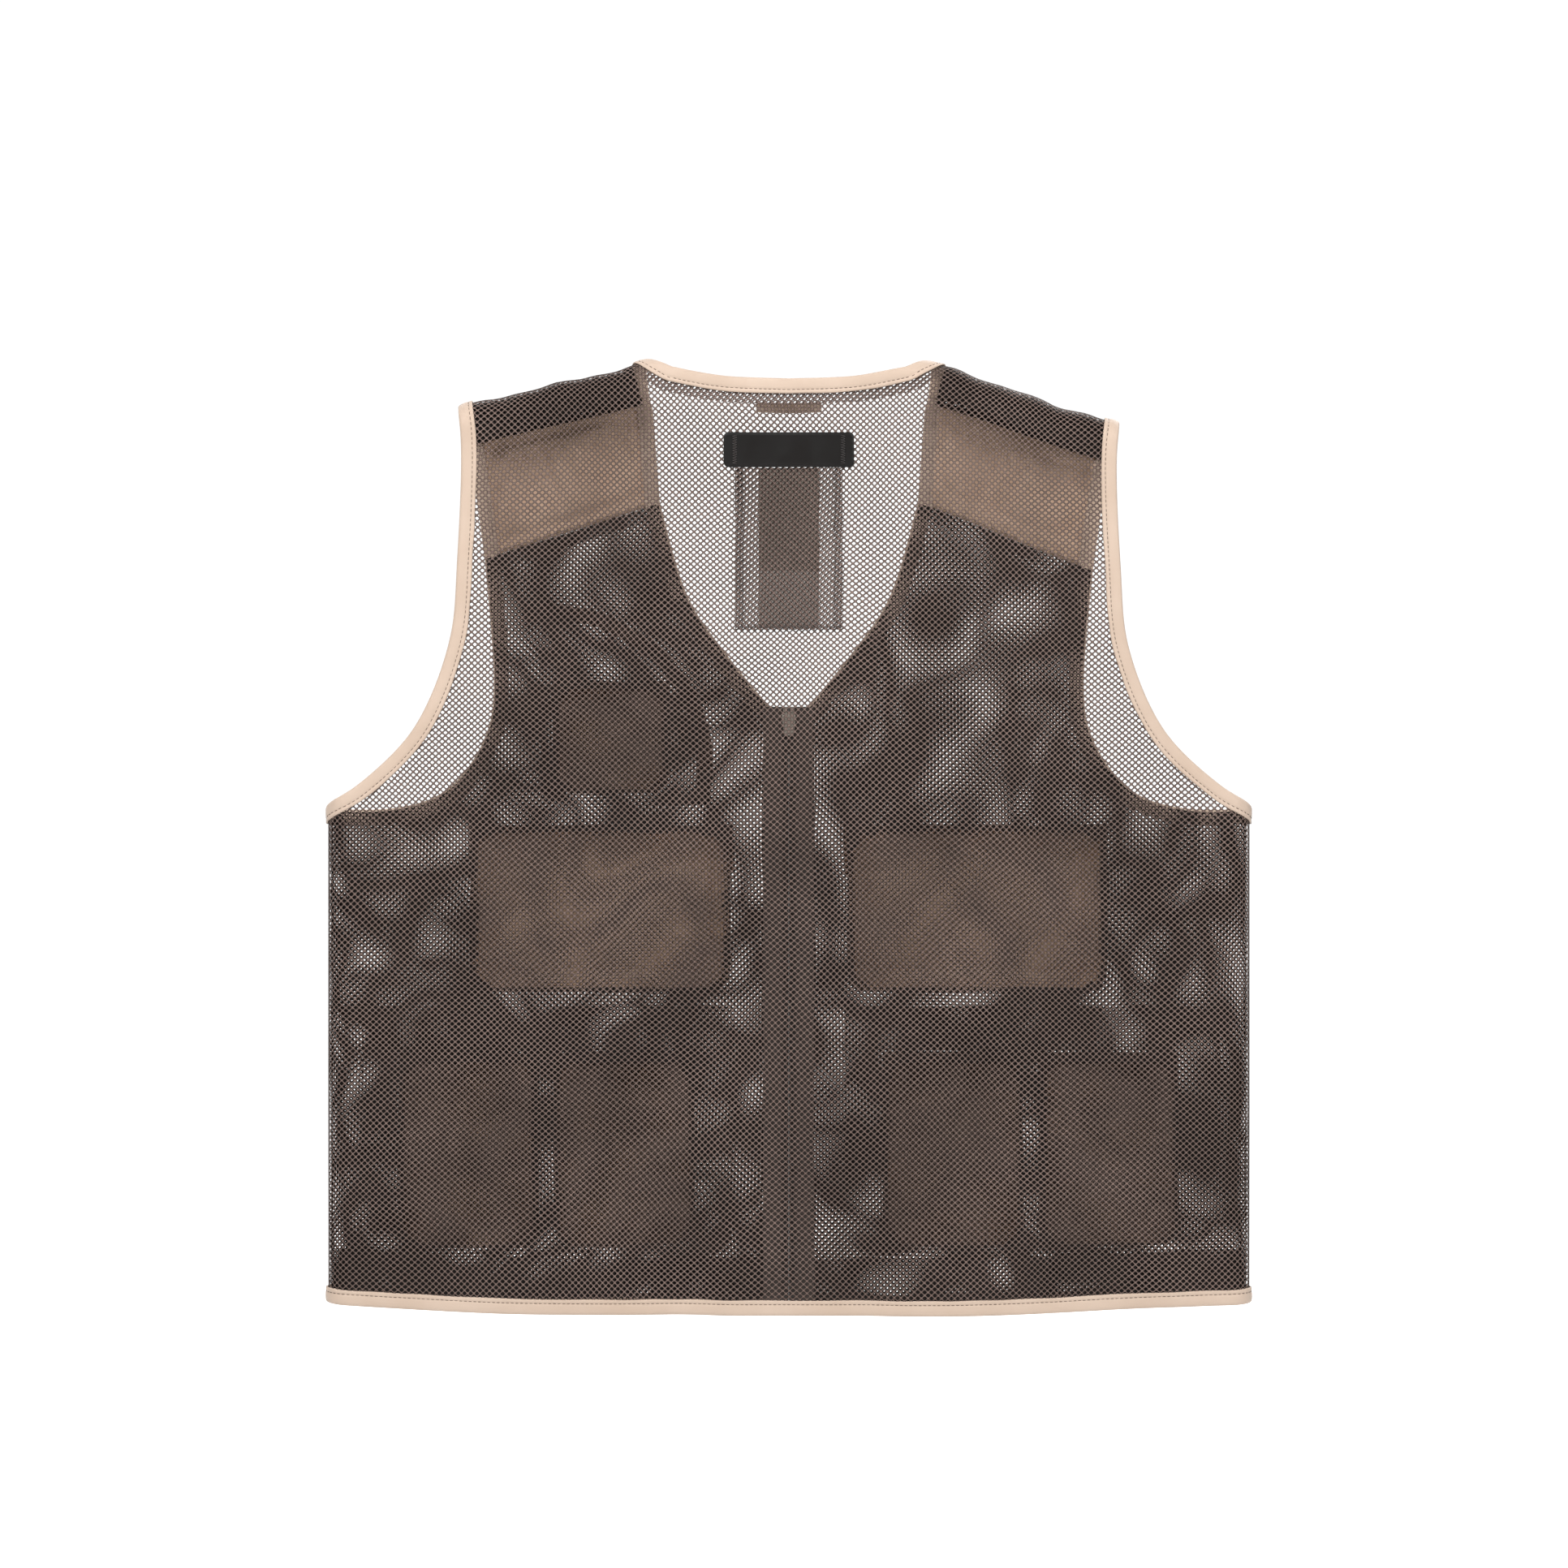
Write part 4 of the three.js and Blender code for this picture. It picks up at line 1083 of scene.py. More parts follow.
def make_hang_loop():
    """A tape that bows away from the inside of the back neck."""
    low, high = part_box("hang_loop")
    wall = high.y - 0.5 * MM
    bow = curve(at(low.x + 1 * MM, wall), at(0, low.y + 0.5 * MM), at(high.x - 1 * MM, wall))
    step = 1.2 * MM
    spine = even(bow, step)
    ring = [(0.5, 0.5), (0.35, 3.1), (0.0, 3.4), (-0.35, 3.1), (-0.5, 0.5)]
    ring += [(out, -up) for out, up in ring[::-1]]
    middle = (low.z + high.z) / 2
    points, flat = [], []
    for i, (spot, way) in enumerate(zip(spine, tangents(spine))):
        for out, up in ring:
            points.append((spot.x - way.y * out * MM, spot.y + way.x * out * MM, middle + up * MM))
            flat.append((i * step, up * MM))
    tape = faced_out(make_tube("hanging_tape", points, flat, len(ring)))
    return on_back(tape, BINDING, "tan_binding", "hang_loop")


# ---- Fronts
def open_behind_pockets(lining, word):
    """The lining is cut away behind each cloth pocket, so the pocket lies against the net."""
    cloth = bmesh.new()
    cloth.from_mesh(lining.data)
    names = [f"mid_pocket_{word}", f"lower_pouch_inner_{word}", f"lower_pouch_outer_{word}"]
    names += ["chest_pouch"] if word == "left" else []
    margin = 4 * MM + MID_CORNER
    doomed = set()
    for low, high in map(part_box, names):
        left, right = sorted((abs(low.x), abs(high.x)))
        for face in cloth.faces:
            middle = face.calc_center_median()
            aside = max(left + margin - middle.x, middle.x - right + margin, 0)
            over = max(low.z + margin - middle.y, middle.y - high.z + margin, 0)
            if math.hypot(aside, over) < MID_CORNER:
                doomed.add(face)
    opened = sum(face.calc_area() for face in doomed)
    bmesh.ops.delete(cloth, geom=list(doomed), context="FACES")
    cloth.to_mesh(lining.data)
    cloth.free()
    return opened


def shape_yoke(yoke, loop, side):
    """Crumples a yoke and gives it upright folds that fade out at its seams."""
    from_edge = to_segments(coordinates(yoke)[:, :2], loop + [loop[0]])
    crumple(yoke, from_edge < 8 * MM, 0.05 * side, -0.045, 4 * MM)
    spots = coordinates(yoke)
    across = spots[:, 0] + 0.16 * spots[:, 1] + 5 * MM * np.sin(spots[:, 1] / (19 * MM))
    fold = 3.4 * MM * np.cos(across / (9 * MM) + side) - 1.8 * MM
    spots[:, 2] += smooth(from_edge, *mm(4, 22)) * fold
    set_coordinates(yoke, spots)


def make_front(side, word):
    lay = lay_front(side)
    put = partial(on_front, word)
    sewn = Stitches()
    dark = Stitches()
    hem = hem_line(ZIP_EDGE)
    below = [at(spot.x, spot.y - GAP) for spot in FRONT_NECK]
    arm_below = [at(spot.x, spot.y - GAP) for spot in FRONT_ARM][::-1]
    zip_side = [below[-1], at(ZIP_EDGE, hem[0].y)]
    yoke_seam = [arm_below[-1], below[0]]
    loop = closed_outline(below, zip_side, hem, arm_below, yoke_seam, spacing=CLOTH_CELL)
    panel = laid(cut_cloth(f"front_net_{word}", loop, shift=(side * 0.37, 0.0)), lay)
    put(panel, NET_CLOSE_SHADED, "mesh_cloth", f"front_panel_{word}")

    lining = cut_cloth(f"lining_{word}", loop, LINING_LEVEL, shift=(side * 0.31, 0.0213))
    opened = open_behind_pockets(lining, word)
    put(laid(lining, lay), NET_LINING_SHADE, "mesh_cloth")

    seam = [YOKE_NECK_END, YOKE_ARM_END]
    yoke_loop = closed_outline(YOKE_NECK_LINE, seam, YOKE_ARM_LINE[::-1], spacing=POCKET_CELL)
    yoke = cut_cloth(f"yoke_cloth_{word}", yoke_loop, spacing=POCKET_CELL)
    shape_yoke(yoke, yoke_loop, side)
    thicken(laid(yoke, lay), YOKE_CLOTH)
    put(faced_out(yoke), TAN, "tan_cloth", f"yoke_{word}")

    neck_line = [*YOKE_NECK_LINE, *FRONT_NECK[1:]]
    arm_line = [*YOKE_ARM_LINE, *FRONT_ARM[1:]][::-1]
    arm_ends = ((-1, 0), tuple(SHOULDER_UP))
    tapes = bind(put, lay, sewn, (
        (f"neck_tape_{word}", neck_line, (tuple(-SHOULDER_UP),), f"front_neck_binding_{word}"),
        (f"arm_tape_{word}", arm_line, arm_ends, f"front_armhole_binding_{word}"),
        (f"hem_tape_{word}", hem, ((1, 0), (1, 0)), f"front_hem_binding_{word}"),
    ))
    facing = ribbon(f"hem_facing_{word}", hem, *mm(6, 33, -2.7), shift=mm(1.3, 2.1))
    tapes.append(put(laid(facing, lay), NET_LINING_SHADE, "mesh_cloth"))
    fold = ribbon(f"yoke_seam_{word}", seam[::-1], *mm(0, 9, -0.7), shift=mm(1.7, 0.8))
    tapes.append(put(laid(fold, lay), NET_CLOSE_SHADED, "mesh_cloth"))
    for level in mm(0.45, -0.45):
        sewn.row(seam, 2 * MM, level)

    make_zip_half(side, word, put)
    make_mid_pocket(side, word, sewn, put)
    make_lower_pocket(side, word, sewn, dark, put)
    if word == "left":
        make_chest_pocket(side, sewn, dark, put)
    threads = sewn.made(f"stitching_{word}", lay)
    tapes.append(put(threads, THREAD_FINISH, "tan_binding"))
    threads = dark.made(f"dark_stitching_{word}", lay)
    tapes.append(put(threads, DARK_THREAD, "mesh_cloth"))


# ---- Pockets
MID_CORNER = 14 * MM
POUCH_SINK = 1.6 * MM
# each box is left, right, low and high
MID_BOX = mm(39, 213, -390.8, -280.8)
MID_DEPTH, MID_RISE, MID_ROLL = mm(18, 17.6, 15)
PATCH_BOX = mm(98, 154, -315, -299)
LOWER_BOX = mm(37, 288, -567, -400.8)
LOWER_DEPTH, LOWER_RISE, LOWER_ROLL = mm(12, 11.2, 12)
LOWER_BAND = 30 * MM
LOWER_POUCHES = (("inner", mm(63, 157.5, -562, -433.8)), ("outer", mm(167.5, 262, -562, -433.8)))
CHEST_BOX = mm(53, 166, -266, -133)
CHEST_POUCH_BOX = mm(80, 158, -258, -184)
CHEST_RISE, CHEST_ROLL = mm(6.4, 9)
SMALL_DEPTH, SMALL_RISE, SMALL_NEAR, SMALL_ROLL = mm(9, 7.6, 0.6, 10)
MID_PUFF, SMALL_PUFF = 0.5, 0.35
PUFF_CAP, CHEST_PUFF_CAP = mm(3.5, 3)


def pocket_surface(left, right, low, depth, near, roll, host=None):
    """How high a pocket's face stands: it rises from its sewn sides and foot in a round."""
    def level(across, up):
        side = np.minimum(across - left, right - across)
        foot = up - low
        inside = MID_CORNER - np.hypot(
            np.clip(MID_CORNER - side, 0, None), np.clip(MID_CORNER - foot, 0, None)
        )
        gone = np.minimum(np.minimum(side, foot), inside)
        share = np.clip(gone / roll, 0, 1)
        full = 1 - ((across - (left + right) / 2) / (right - left)) ** 2
        base = host(across, up) if host else 0.0
        return near + base + depth * (0.93 + 0.07 * full) * np.sqrt(1 - (1 - share) ** 2)

    return level


def calmed(piece, shift, rounds=2):
    """Evens a shift out between neighbours, so that no crease is sharper than the cloth."""
    ends = np.array([tuple(edge.vertices) for edge in piece.data.edges])
    count = np.bincount(ends.ravel(), minlength=len(shift))[:, None]
    for _ in range(rounds):
        total = np.zeros_like(shift)
        np.add.at(total, ends[:, 0], shift[ends[:, 1]])
        np.add.at(total, ends[:, 1], shift[ends[:, 0]])
        shift = (shift + total / count) / 2
    return shift


def make_pouch(name, box, surface, lay, pressure, cap, still=None):
    """A tan pouch, sewn at its sides and foot, with its cloth a little crumpled."""
    loop = rounded_outline(*box, MID_CORNER, spacing=POCKET_CELL)
    pouch = cut_cloth(name, loop, surface, POCKET_CELL)
    spots = coordinates(pouch)
    across, up = spots[:, 0], spots[:, 1]
    held = (box[3] - up < 7 * MM) | (to_segments(spots[:, :2], loop + [loop[0]]) < 2.4 * MM)
    if still is not None:
        held |= still(across, up)
    crumple(pouch, held, pressure, -0.09, cap)
    settled = coordinates(pouch)
    settled[:, 2] = np.clip(settled[:, 2], spots[:, 2] - POUCH_SINK, spots[:, 2] + cap)
    shift = calmed(pouch, settled - spots)
    shift[held] = 0
    set_coordinates(pouch, spots + shift)
    thicken(laid(pouch, lay), POUCH_CLOTH, -1.0)
    return faced_out(pouch)


def pouch_rows(rows, box, surface, inset):
    """A row of stitches along a pocket's sides and foot."""
    sides = [spot for line in rounded_loop(*box, MID_CORNER)[1:] for spot in line]
    rows.row(sides, inset, lifted(surface, 0.3 * MM))


def declare_pouch(box, depth, with_piece):
    left, right, low, high = box


def make_pad(name, box, level, lay):
    loop = rounded_outline(*box, *mm(2, 2), spacing=2 * MM)
    pad = cut_cloth(name, loop, level, POCKET_CELL)
    return faced_out(thicken(laid(pad, lay), PAD_CLOTH))


def make_small_pouch(names, box, host, cap, lay, sewn, put):
    """A pouch on a pocket's face, with a tape folded over its mouth."""
    left, right, low, high = box
    name, hem_name, node = names
    face = pocket_surface(left, right, low, SMALL_RISE, SMALL_NEAR, SMALL_ROLL, host)
    pouch = make_pouch(name, box, face, lay, SMALL_PUFF, cap)
    put(pouch, TAN, "tan_cloth", node)
    mouth = [at(right, high), at(left, high)]
    hem = put(bound_edge(hem_name, mouth, lay, level=face), TAN, "tan_cloth")
    sewn.both_sides(mouth, level=lifted(face, 0.1 * MM))
    pouch_rows(sewn, box, face, 1.6 * MM)
    declare_pouch(box, SMALL_DEPTH, hem)


def near_patch(across, up):
    left, right, low, high = PATCH_BOX
    aside = np.maximum(left - across, across - right)
    over = np.maximum(low - up, up - high)
    return np.maximum(aside, over) < 3 * MM


def make_mid_pocket(side, word, sewn, put):
    lay = lay_front(side)
    surface = pocket_surface(*MID_BOX[:3], MID_RISE, ON_PANEL, MID_ROLL)
    pouch = make_pouch(f"mid_pouch_{word}", MID_BOX, surface, lay, MID_PUFF, PUFF_CAP, near_patch)
    put(pouch, TAN, "tan_cloth", f"mid_pocket_{word}")
    loops = make_pad(f"loop_pad_{word}", PATCH_BOX, lifted(surface, 0.9 * MM), lay)
    put(loops, PILE, "hook_and_loop", f"mid_loop_patch_{word}")
    declare_pouch(MID_BOX, MID_DEPTH, loops)
    pouch_rows(sewn, MID_BOX, surface, 1.6 * MM)
    make_flap(side, word)


FLAP_TOP = -279 * MM
FLAP_LEVEL = 21.9 * MM
FLAP_BEND = 5 * MM
FLAP_START = 1.4 * MM
FLAP_OUT = FLAP_LEVEL - FLAP_BEND - FLAP_START
FLAP_ARC = FLAP_BEND * math.pi / 2
FLAP_DOWN = 40 * MM - FLAP_BEND
FLAP_DROP = FLAP_TOP - 0.6 * MM - FLAP_BEND
FLAP_LEFT, FLAP_RIGHT = mm(37, 215)


def fold_flap(flat):
    """Takes a flap drawn flat, its sewn edge at height 0, out over the pocket and down it."""
    across, run, rise = flat[:, 0], -flat[:, 1], flat[:, 2]
    turn = np.clip((run - FLAP_OUT) / FLAP_BEND, 0, math.pi / 2)
    down = np.clip(run - FLAP_OUT - FLAP_ARC, 0, None)
    radius = FLAP_BEND + rise
    level = FLAP_START + np.minimum(run, FLAP_OUT) + radius * np.sin(turn)
    up = FLAP_DROP + radius * np.cos(turn) - down
    free = down / FLAP_DOWN
    aside = (across - 126 * MM) / (89 * MM)
    ruffle = 0.5 * MM * np.sin(across / (13 * MM) + 2 * np.sin(across / (31 * MM)))
    level = level + free * (0.8 * MM * aside**2 + ruffle) * smooth(free, 0, 0.4)
    return np.stack([across, up, level], axis=1)


def make_flap(side, word):
    lay_panel = lay_front(side)

    def lay(flat):
        return lay_panel(fold_flap(flat))

    def put(piece, finish, slot, *stands_for):
        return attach(finished(piece, finish, slot, *stands_for), f"flap_{word}")

    lay.mirrors = side < 0
    total = FLAP_OUT + FLAP_ARC + FLAP_DOWN
    lines = rounded_loop(FLAP_LEFT, FLAP_RIGHT, -total, 0, MID_CORNER)
    loop = closed_outline(*lines, spacing=2.5 * MM)
    flap = cut_cloth(f"flap_cloth_{word}", loop, 0.0, 2.8 * MM)
    thicken(laid(flap, lay), FLAP_CLOTH)
    put(faced_out(flap), TAN, "tan_cloth", f"mid_flap_{word}")
    sewn = Stitches()
    edge = [spot for line in lines[1:] for spot in line]
    left, right, low, high = PATCH_BOX
    corners = ((left, low), (right, low), (right, high), (left, high))
    box = [at(x, -(FLAP_OUT + FLAP_ARC + FLAP_DROP - z)) for x, z in corners]
    for line, inset in ((edge, 1.6), (edge, 6), ([*box, box[0]], 1.2)):
        sewn.row(line, *mm(inset, 0.55))
    threads = put(sewn.made(f"flap_stitching_{word}", lay), THREAD_FINISH, "tan_binding")
    hooks = make_pad(f"hook_pad_{word}", (left, right, box[0].y, box[2].y), -0.95 * MM, lay)
    put(hooks, PILE, "hook_and_loop", f"mid_hook_patch_{word}")


def make_lower_pocket(side, word, sewn, dark, put):
    lay = lay_front(side)
    left, right, low, high = LOWER_BOX
    surface = pocket_surface(left, right, low, LOWER_RISE, ON_PANEL, LOWER_ROLL)
    loop = rounded_outline(*LOWER_BOX, MID_CORNER, spacing=POCKET_CELL)
    pocket = cut_cloth(f"lower_net_{word}", loop, surface, POCKET_CELL, shift=(0.11, 0.07))
    put(laid(pocket, lay), NET_CLOSE_SHADED, "mesh_cloth", f"lower_pocket_{word}")
    band_loop = rounded_outline(left, right, high - LOWER_BAND, high, 0.5 * MM, spacing=POCKET_CELL)
    over = lifted(surface, 0.9 * MM)
    band = cut_cloth(f"band_net_{word}", band_loop, over, POCKET_CELL, shift=(0.1124, 0.0713))
    put(laid(band, lay), NET_CLOSE_SHADED, "mesh_cloth", f"lower_pocket_band_{word}")
    for inset in mm(2.5, 27):
        dark.row([at(right, high), at(left, high)], inset, lifted(surface, 1.3 * MM))
    pouch_rows(dark, LOWER_BOX, surface, 2 * MM)
    declare_pouch(LOWER_BOX, LOWER_DEPTH, band)

    for row, box in LOWER_POUCHES:
        names = (f"pouch_{row}_{word}", f"pouch_hem_{row}_{word}", f"lower_pouch_{row}_{word}")
        make_small_pouch(names, box, surface, PUFF_CAP, lay, sewn, put)


def make_chest_pocket(side, sewn, dark, put):
    lay = lay_front(side)
    inner, outer, low, high = CHEST_BOX
    width, height = outer - inner, high - low
    mouth = curve(
        at(outer - 3.2 * MM, high),
        at(outer - 0.42 * width, high - 8 * MM),
        at(inner + 0.17 * width, low + 0.67 * height),
        at(inner, low + 0.33 * height),
        at(inner + 1 * MM, low + 2 * MM),
    )

    def surface(across, up):
        gone = np.clip(np.minimum(outer - across, up - low), 0, None)
        share = np.clip(gone / CHEST_ROLL, 0, 1)
        return ON_PANEL + CHEST_RISE * np.sqrt(1 - (1 - share) ** 2)

    foot = [mouth[-1], at(inner + 4 * MM, low), at(outer, low), at(outer, high), mouth[0]]
    loop = closed_outline(mouth, foot[:2], foot[1:3], foot[2:4], foot[3:], spacing=POCKET_CELL)
    pocket = laid(cut_cloth("chest_net", loop, surface, POCKET_CELL, shift=(0.05, 0.031)), lay)
    put(pocket, NET_CLOSE_SHADED, "mesh_cloth", "chest_pocket")
    edging = bound_edge("chest_mouth_tape", mouth, lay, level=surface)
    put(edging, BINDING, "tan_binding", "chest_pocket_edging")
    sewn.both_sides(mouth, level=surface)
    dark.row(foot[1:4], 2 * MM, lifted(surface, 0.3 * MM))

    names = ("chest_pouch_cloth", "chest_pouch_hem", "chest_pouch")
    make_small_pouch(names, CHEST_POUCH_BOX, surface, CHEST_PUFF_CAP, lay, sewn, put)


# ---- Zip
CHAIN_LEVEL = -2.5 * MM
TOOTH_PITCH = 2.9 * MM


@contextmanager
def editing(piece, wanted, kind="FACE"):
    """Edit mode with only the faces or edges selected that wanted accepts. It is given a face's
    centre and normal, or an edge's two ends."""
    bpy.context.view_layer.objects.active = piece
    bpy.ops.object.mode_set(mode="EDIT")
    bpy.ops.mesh.select_mode(type=kind)
    bpy.ops.mesh.select_all(action="DESELECT")
    bpy.ops.object.mode_set(mode="OBJECT")
    places = [vertex.co.copy() for vertex in piece.data.vertices]
    if kind == "FACE":
        for face in piece.data.polygons:
            face.select = bool(wanted(face.center, face.normal))
    else:
        for edge in piece.data.edges:
            edge.select = bool(wanted(*(places[i] for i in edge.vertices)))
    bpy.ops.object.mode_set(mode="EDIT")
    yield
    bpy.ops.object.mode_set(mode="OBJECT")


def everything(*_):
    return True


def facing_out(_, normal):
    return abs(normal.y) > 0.9


def new_block(name, low, high):
    """A block between two corners, its place in its mesh, alone selected and active."""
    bpy.ops.object.select_all(action="DESELECT")
    middle = (Vector(low) + Vector(high)) / 2
    bpy.ops.mesh.primitive_cube_add(size=1, location=middle, scale=Vector(high) - Vector(low))
    block = bpy.context.active_object
    block.name = name
    bpy.ops.object.transform_apply(location=True, rotation=True, scale=True)
    return block


def soften(piece, width, segments=2):
    """Rounds the edges of a hard piece and shades it smooth."""
    limit = {"limit_method": "ANGLE", "angle_limit": math.radians(30)}
    modified(piece, "BEVEL", width=width, segments=segments, **limit)
    bpy.ops.object.shade_smooth_by_angle(angle=math.radians(40))
    return piece


def joined(name, *parts):
    bpy.ops.object.select_all(action="DESELECT")
    for part in parts:
        part.select_set(True)
    bpy.context.view_layer.objects.active = parts[0]
    bpy.ops.object.join()
    whole = bpy.context.active_object
    whole.name = name
    return whole


def make_tooth():
    """One moulded tooth at the origin: a clamp on the tape, a neck and a head across the gap."""
    tooth = new_block("tooth", (0, -1.2 * MM, -0.75 * MM), (2.9 * MM, 1.2 * MM, 0.75 * MM))
    with editing(tooth, lambda centre, normal: normal.x < -0.9):
        for out, size in ((-0.45, (1, 0.8, 0.6)), (-0.6, (1, 1.1, 1.75))):
            bpy.ops.mesh.extrude_region_move(TRANSFORM_OT_translate={"value": (out * MM, 0, 0)})
            bpy.ops.transform.resize(value=size)
    points = coordinates(tooth)
    faces = [tuple(face.vertices) for face in tooth.data.polygons]
    bpy.data.objects.remove(tooth)
    return points, faces


def make_teeth(side, word, tooth):
    low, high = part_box(f"zip_teeth_{word}")
    points, faces = tooth
    first = high.z - (0.0 if side > 0 else TOOTH_PITCH / 2) - 1 * MM
    count = int((first - low.z - 1 * MM) / TOOTH_PITCH) + 1
    row_points, row_faces = [], []
    for i in range(count):
        place = np.array((1.15 * MM, (low.y + high.y) / 2, first - i * TOOTH_PITCH))
        spots = (points + place) * (side, 1, 1)
        row_faces += [tuple(len(row_points) + corner for corner in face) for face in faces]
        row_points += [tuple(spot) for spot in spots]
    return faced_out(make_piece(f"teeth_{word}", row_points, row_faces, smooth_faces=False))


def recessed_block(name, node, rim, depth):
    """A block as large as a node's box, with its front and back faces sunk inside a rim."""
    block = new_block(name, *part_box(node))
    with editing(block, facing_out):
        bpy.ops.mesh.inset(thickness=rim, depth=-depth, use_individual=True)
    return block


def make_zip_half(side, word, put):
    lay = lay_front(side)
    low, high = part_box(f"zip_tape_{word}")
    inner = 0.02 * MM
    outer = max(abs(low.x), abs(high.x))
    loop = rounded_outline(inner, outer, low.z - 4 * MM, high.z, 0.5 * MM, spacing=3 * MM)
    tape = cut_cloth(f"zip_cloth_{word}", loop, CHAIN_LEVEL, 3.4 * MM)
    thicken(laid(tape, lay), ZIP_CLOTH)
    put(faced_out(tape), ZIP_TAPE, "zip_tape", f"zip_tape_{word}")

    put(make_teeth(side, word, TOOTH), PLASTIC, "zip_plastic", f"zip_teeth_{word}")
    stop = recessed_block(f"stop_{word}", f"zip_top_stop_{word}", *mm(0.7, 0.25))
    put(soften(stop, 0.3 * MM), METAL, "zip_metal", f"zip_top_stop_{word}")

    name, node = ("retainer", "zip_retainer_box") if word == "left" else ("pin", "zip_insert_pin")
    holder = recessed_block(name, node, *mm(0.8, 0.4))
    with editing(holder, lambda centre, normal: normal.z < -0.9):
        bpy.ops.transform.resize(value=(0.8, 0.75, 1))
    put(soften(holder, 0.35 * MM), PLASTIC, "zip_plastic", node)


def make_slider():
    """Two waisted plates on a post, with a crown over the upper one."""
    low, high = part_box("zip_slider")
    plate, crown_room = mm(1.4, 3.6)
    face_y = low.y + crown_room
    half = high.x
    parts = []
    for name, near, far in (("front", face_y, face_y + plate), ("back", high.y - plate, high.y)):
        leaf = new_block(f"leaf_{name}", (-half, near, low.z), (half, far, high.z))
        with editing(leaf, everything):
            bpy.ops.mesh.subdivide(number_cuts=3)
        spots = coordinates(leaf)
        share = (spots[:, 2] - low.z) / (high.z - low.z)
        spots[:, 0] *= 1 - 0.3 * smooth(0.75 - share, 0.0, 0.6) - 0.12 * smooth(share, 0.7, 1.0) ** 2
        middle = (near + far) / 2
        crown = 1 - 0.25 * (np.abs(spots[:, 0]) / half) ** 2
        spots[:, 1] = middle + (spots[:, 1] - middle) * crown
        set_coordinates(leaf, spots)
        parts.append(soften(leaf, 0.35 * MM))
    post_half, inset = mm(0.35, 0.5)
    post = new_block(
        "post", (-post_half, face_y + inset, high.z - 5 * MM), (post_half, high.y - inset, high.z)
    )
    parts.append(soften(post, 0.12 * MM, 1))
    legs = (high.z - 1 * MM, high.z - 10.5 * MM)
    crown = new_block("crown", (-1.5 * MM, low.y, legs[1]), (1.5 * MM, low.y + 1.1 * MM, legs[0]))
    with editing(crown, everything):
        bpy.ops.mesh.subdivide(number_cuts=6)
    spots = coordinates(crown)
    along = (spots[:, 2] - legs[1]) / (legs[0] - legs[1])
    spots[:, 1] += (crown_room - 0.4 * MM) * np.abs(2 * along - 1) ** 5
    set_coordinates(crown, spots)
    parts.append(soften(crown, 0.3 * MM))
    slider = joined("slider_body", *parts)
    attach(finished(slider, METAL, "zip_metal", "zip_slider"), "slider")


def make_pull():
    """A flat tab with a window for the crown at its top and a sunk face below."""
    low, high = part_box("zip_pull")
    tab = new_block("pull_tab", low, high)
    window_top = high.z - 2 * MM
    window_foot = window_top - 6.4 * MM
    frame_width, sunk_rim = mm(1.9, 1.5)

    def in_window(centre, normal):
        return facing_out(centre, normal) and window_foot < centre.z < window_top

    def round_window(start, end):
        level = abs(start.y - end.y) < 0.01 * MM
        inside = max(abs(start.x), abs(end.x)) < 2.6 * MM
        return level and inside and all(
            window_foot - MM < spot.z < window_top + MM for spot in (start, end)
        )

    with editing(tab, everything):
        bpy.ops.mesh.bisect(plane_co=(0, 0, window_foot - frame_width), plane_no=(0, 0, 1))
    with editing(tab, in_window):
        bpy.ops.mesh.inset(thickness=frame_width, depth=0, use_individual=True)
        bpy.ops.mesh.delete(type="FACE")
    with editing(tab, round_window, "EDGE"):
        bpy.ops.mesh.bridge_edge_loops()
    with editing(tab, lambda centre, normal: facing_out(centre, normal) and centre.z < window_foot - 2 * MM):
        bpy.ops.mesh.inset(thickness=sunk_rim, depth=-0.3 * MM, use_individual=True)
    faced_out(tab)
    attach(finished(soften(tab, 0.35 * MM), METAL, "zip_metal", "zip_pull"), "pull")


TOOTH = make_tooth()
make_back()
make_front(1, "left")
make_front(-1, "right")
make_slider()
make_pull()


# ---- Floor, light and camera
CAMERA_PLACE = (0.0032, 2.46, -0.2516)
LIGHT_TARGET = (0, 0, -0.15)


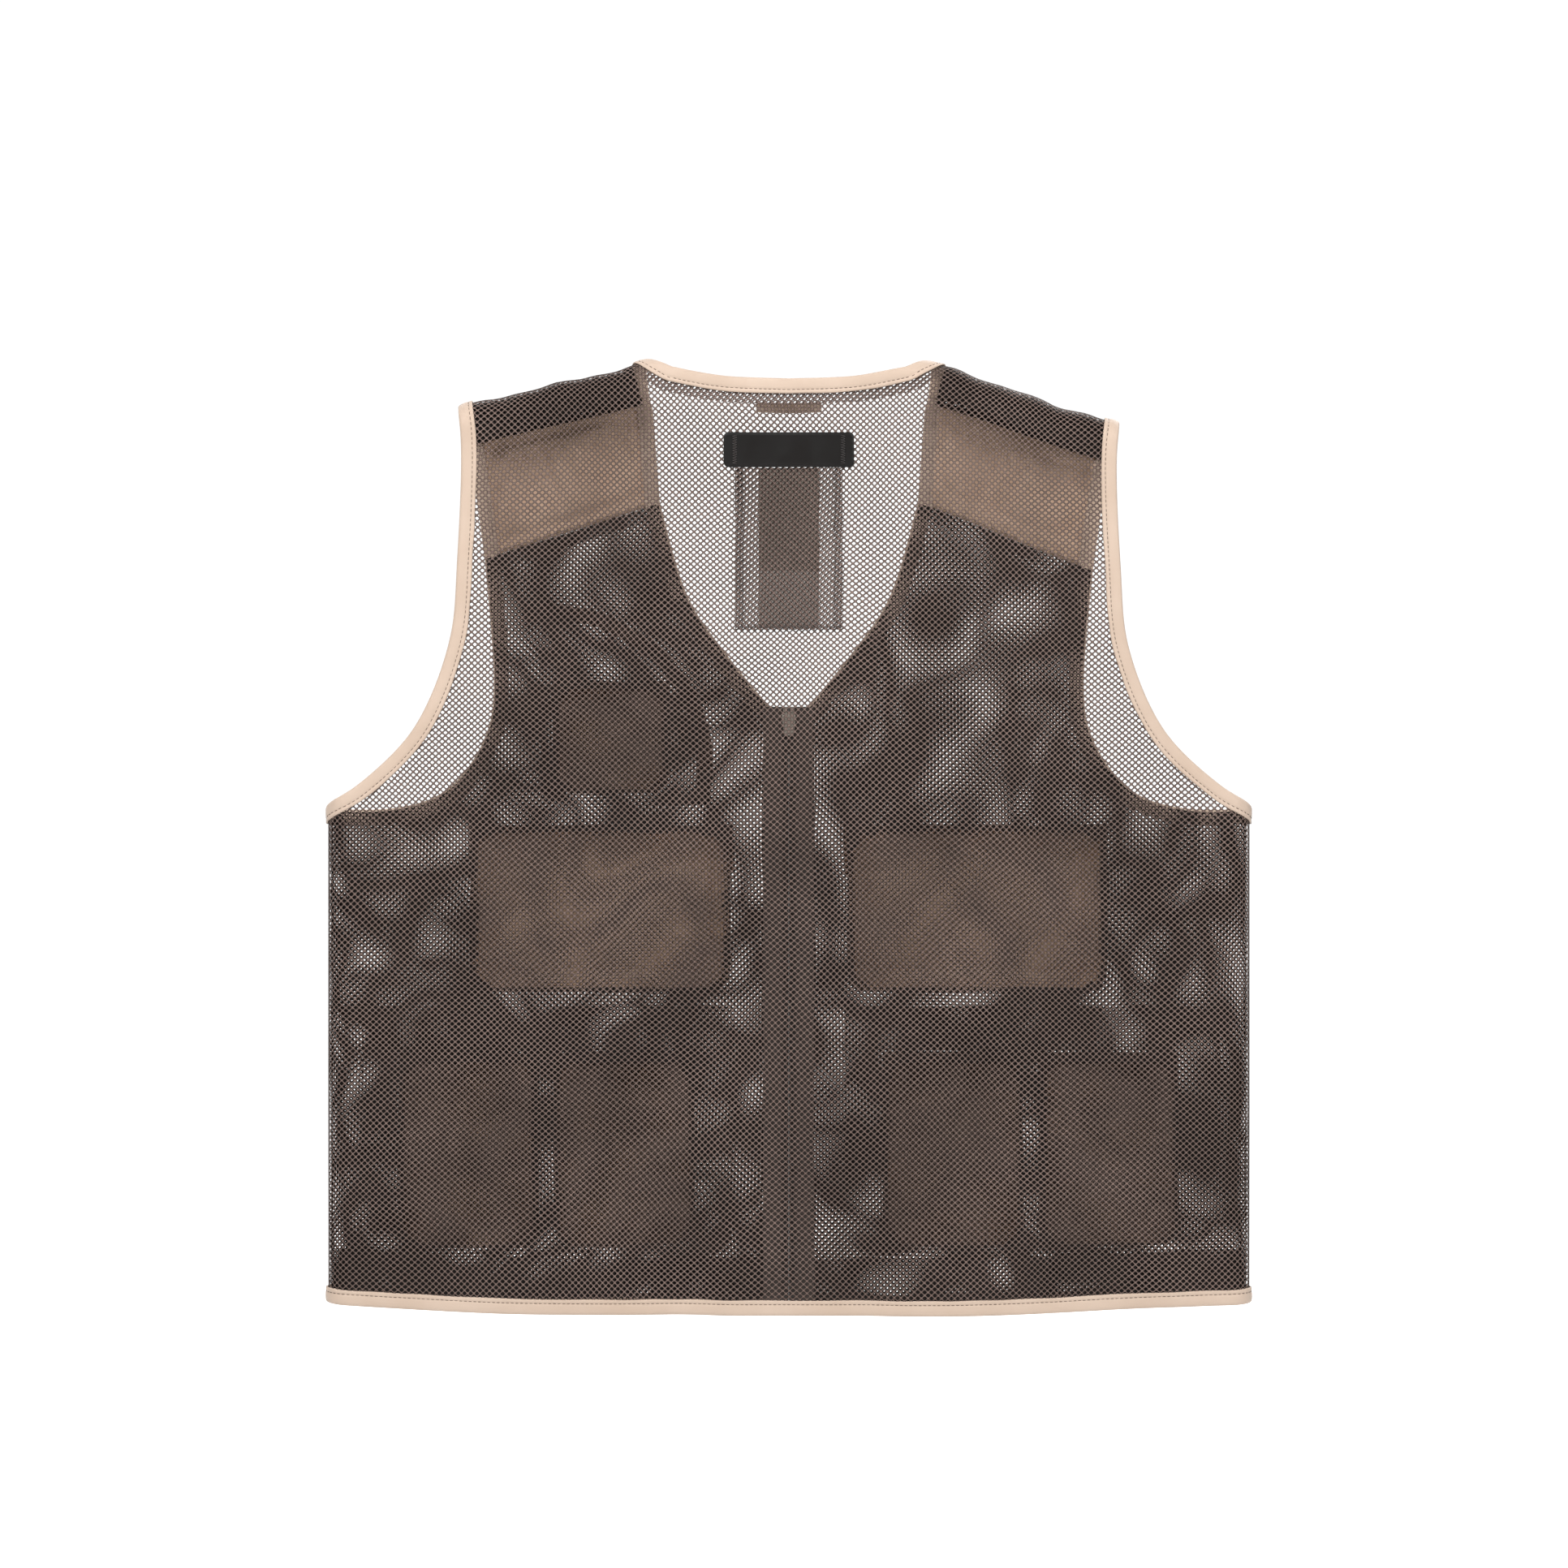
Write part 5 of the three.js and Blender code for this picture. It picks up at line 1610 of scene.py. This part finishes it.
def make_stage():
    bpy.ops.object.select_all(action="DESELECT")
    bpy.ops.mesh.primitive_circle_add(vertices=96, radius=4, fill_type="NGON", location=(0, 0, -0.8))
    floor = bpy.context.active_object
    floor.name = "floor"
    paper = bpy.data.materials.new("pale_floor")
    paper.use_nodes = True
    shader = paper.node_tree.nodes["Principled BSDF"].inputs
    lit = Nodes(paper.node_tree)
    for name, value in (
        ("Base Color", (0.93, 0.93, 0.93, 1)), ("Roughness", 0.9), ("Specular IOR Level", 0.1),
        ("Emission Color", (1, 1, 1, 1)),
    ):
        lit.feed(shader[name], value)
    seen = lit.add("LightPath").outputs["Is Camera Ray"]
    lit.feed(shader["Emission Strength"], lit.math("MULTIPLY", seen, 0.8))
    floor.data.materials.append(paper)

    world = bpy.data.worlds.new("studio")
    world.use_nodes = True
    nodes = Nodes(world.node_tree)
    background = world.node_tree.nodes["Background"]
    background.inputs["Color"].default_value = (1, 1, 1, 1)
    seen = nodes.add("LightPath").outputs["Is Camera Ray"]
    nodes.feed(background.inputs["Strength"], nodes.span(seen, 0.0, 1.0, 0.16, 1.05))
    bpy.context.scene.world = world

    for name, place, size, power in (
        ("key", (0.9, 1.7, 1.5), 1.2, 52),
        ("fill", (-1.5, 1.6, 1.1), 1.6, 30),
        ("front_key", (-0.9, -1.7, 1.5), 1.2, 30),
        ("front_fill", (1.5, -1.6, 1.1), 1.6, 18),
    ):
        data = bpy.data.lights.new(name, "AREA")
        data.energy = power
        data.size = size
        lamp = placed(name, data)
        lamp.location = place
        aim = Vector(LIGHT_TARGET) - Vector(place)
        lamp.rotation_euler = aim.to_track_quat("-Z", "Y").to_euler()

    data = bpy.data.cameras.new("camera")
    data.lens = 85
    data.sensor_width = 36
    camera = placed("camera", data)
    camera.location = CAMERA_PLACE
    camera.rotation_euler = (math.pi / 2, 0, math.pi)
    scene = bpy.context.scene
    scene.camera = camera
    scene.view_settings.view_transform = "Standard"
    scene.cycles.transparent_max_bounces = 24


make_stage()
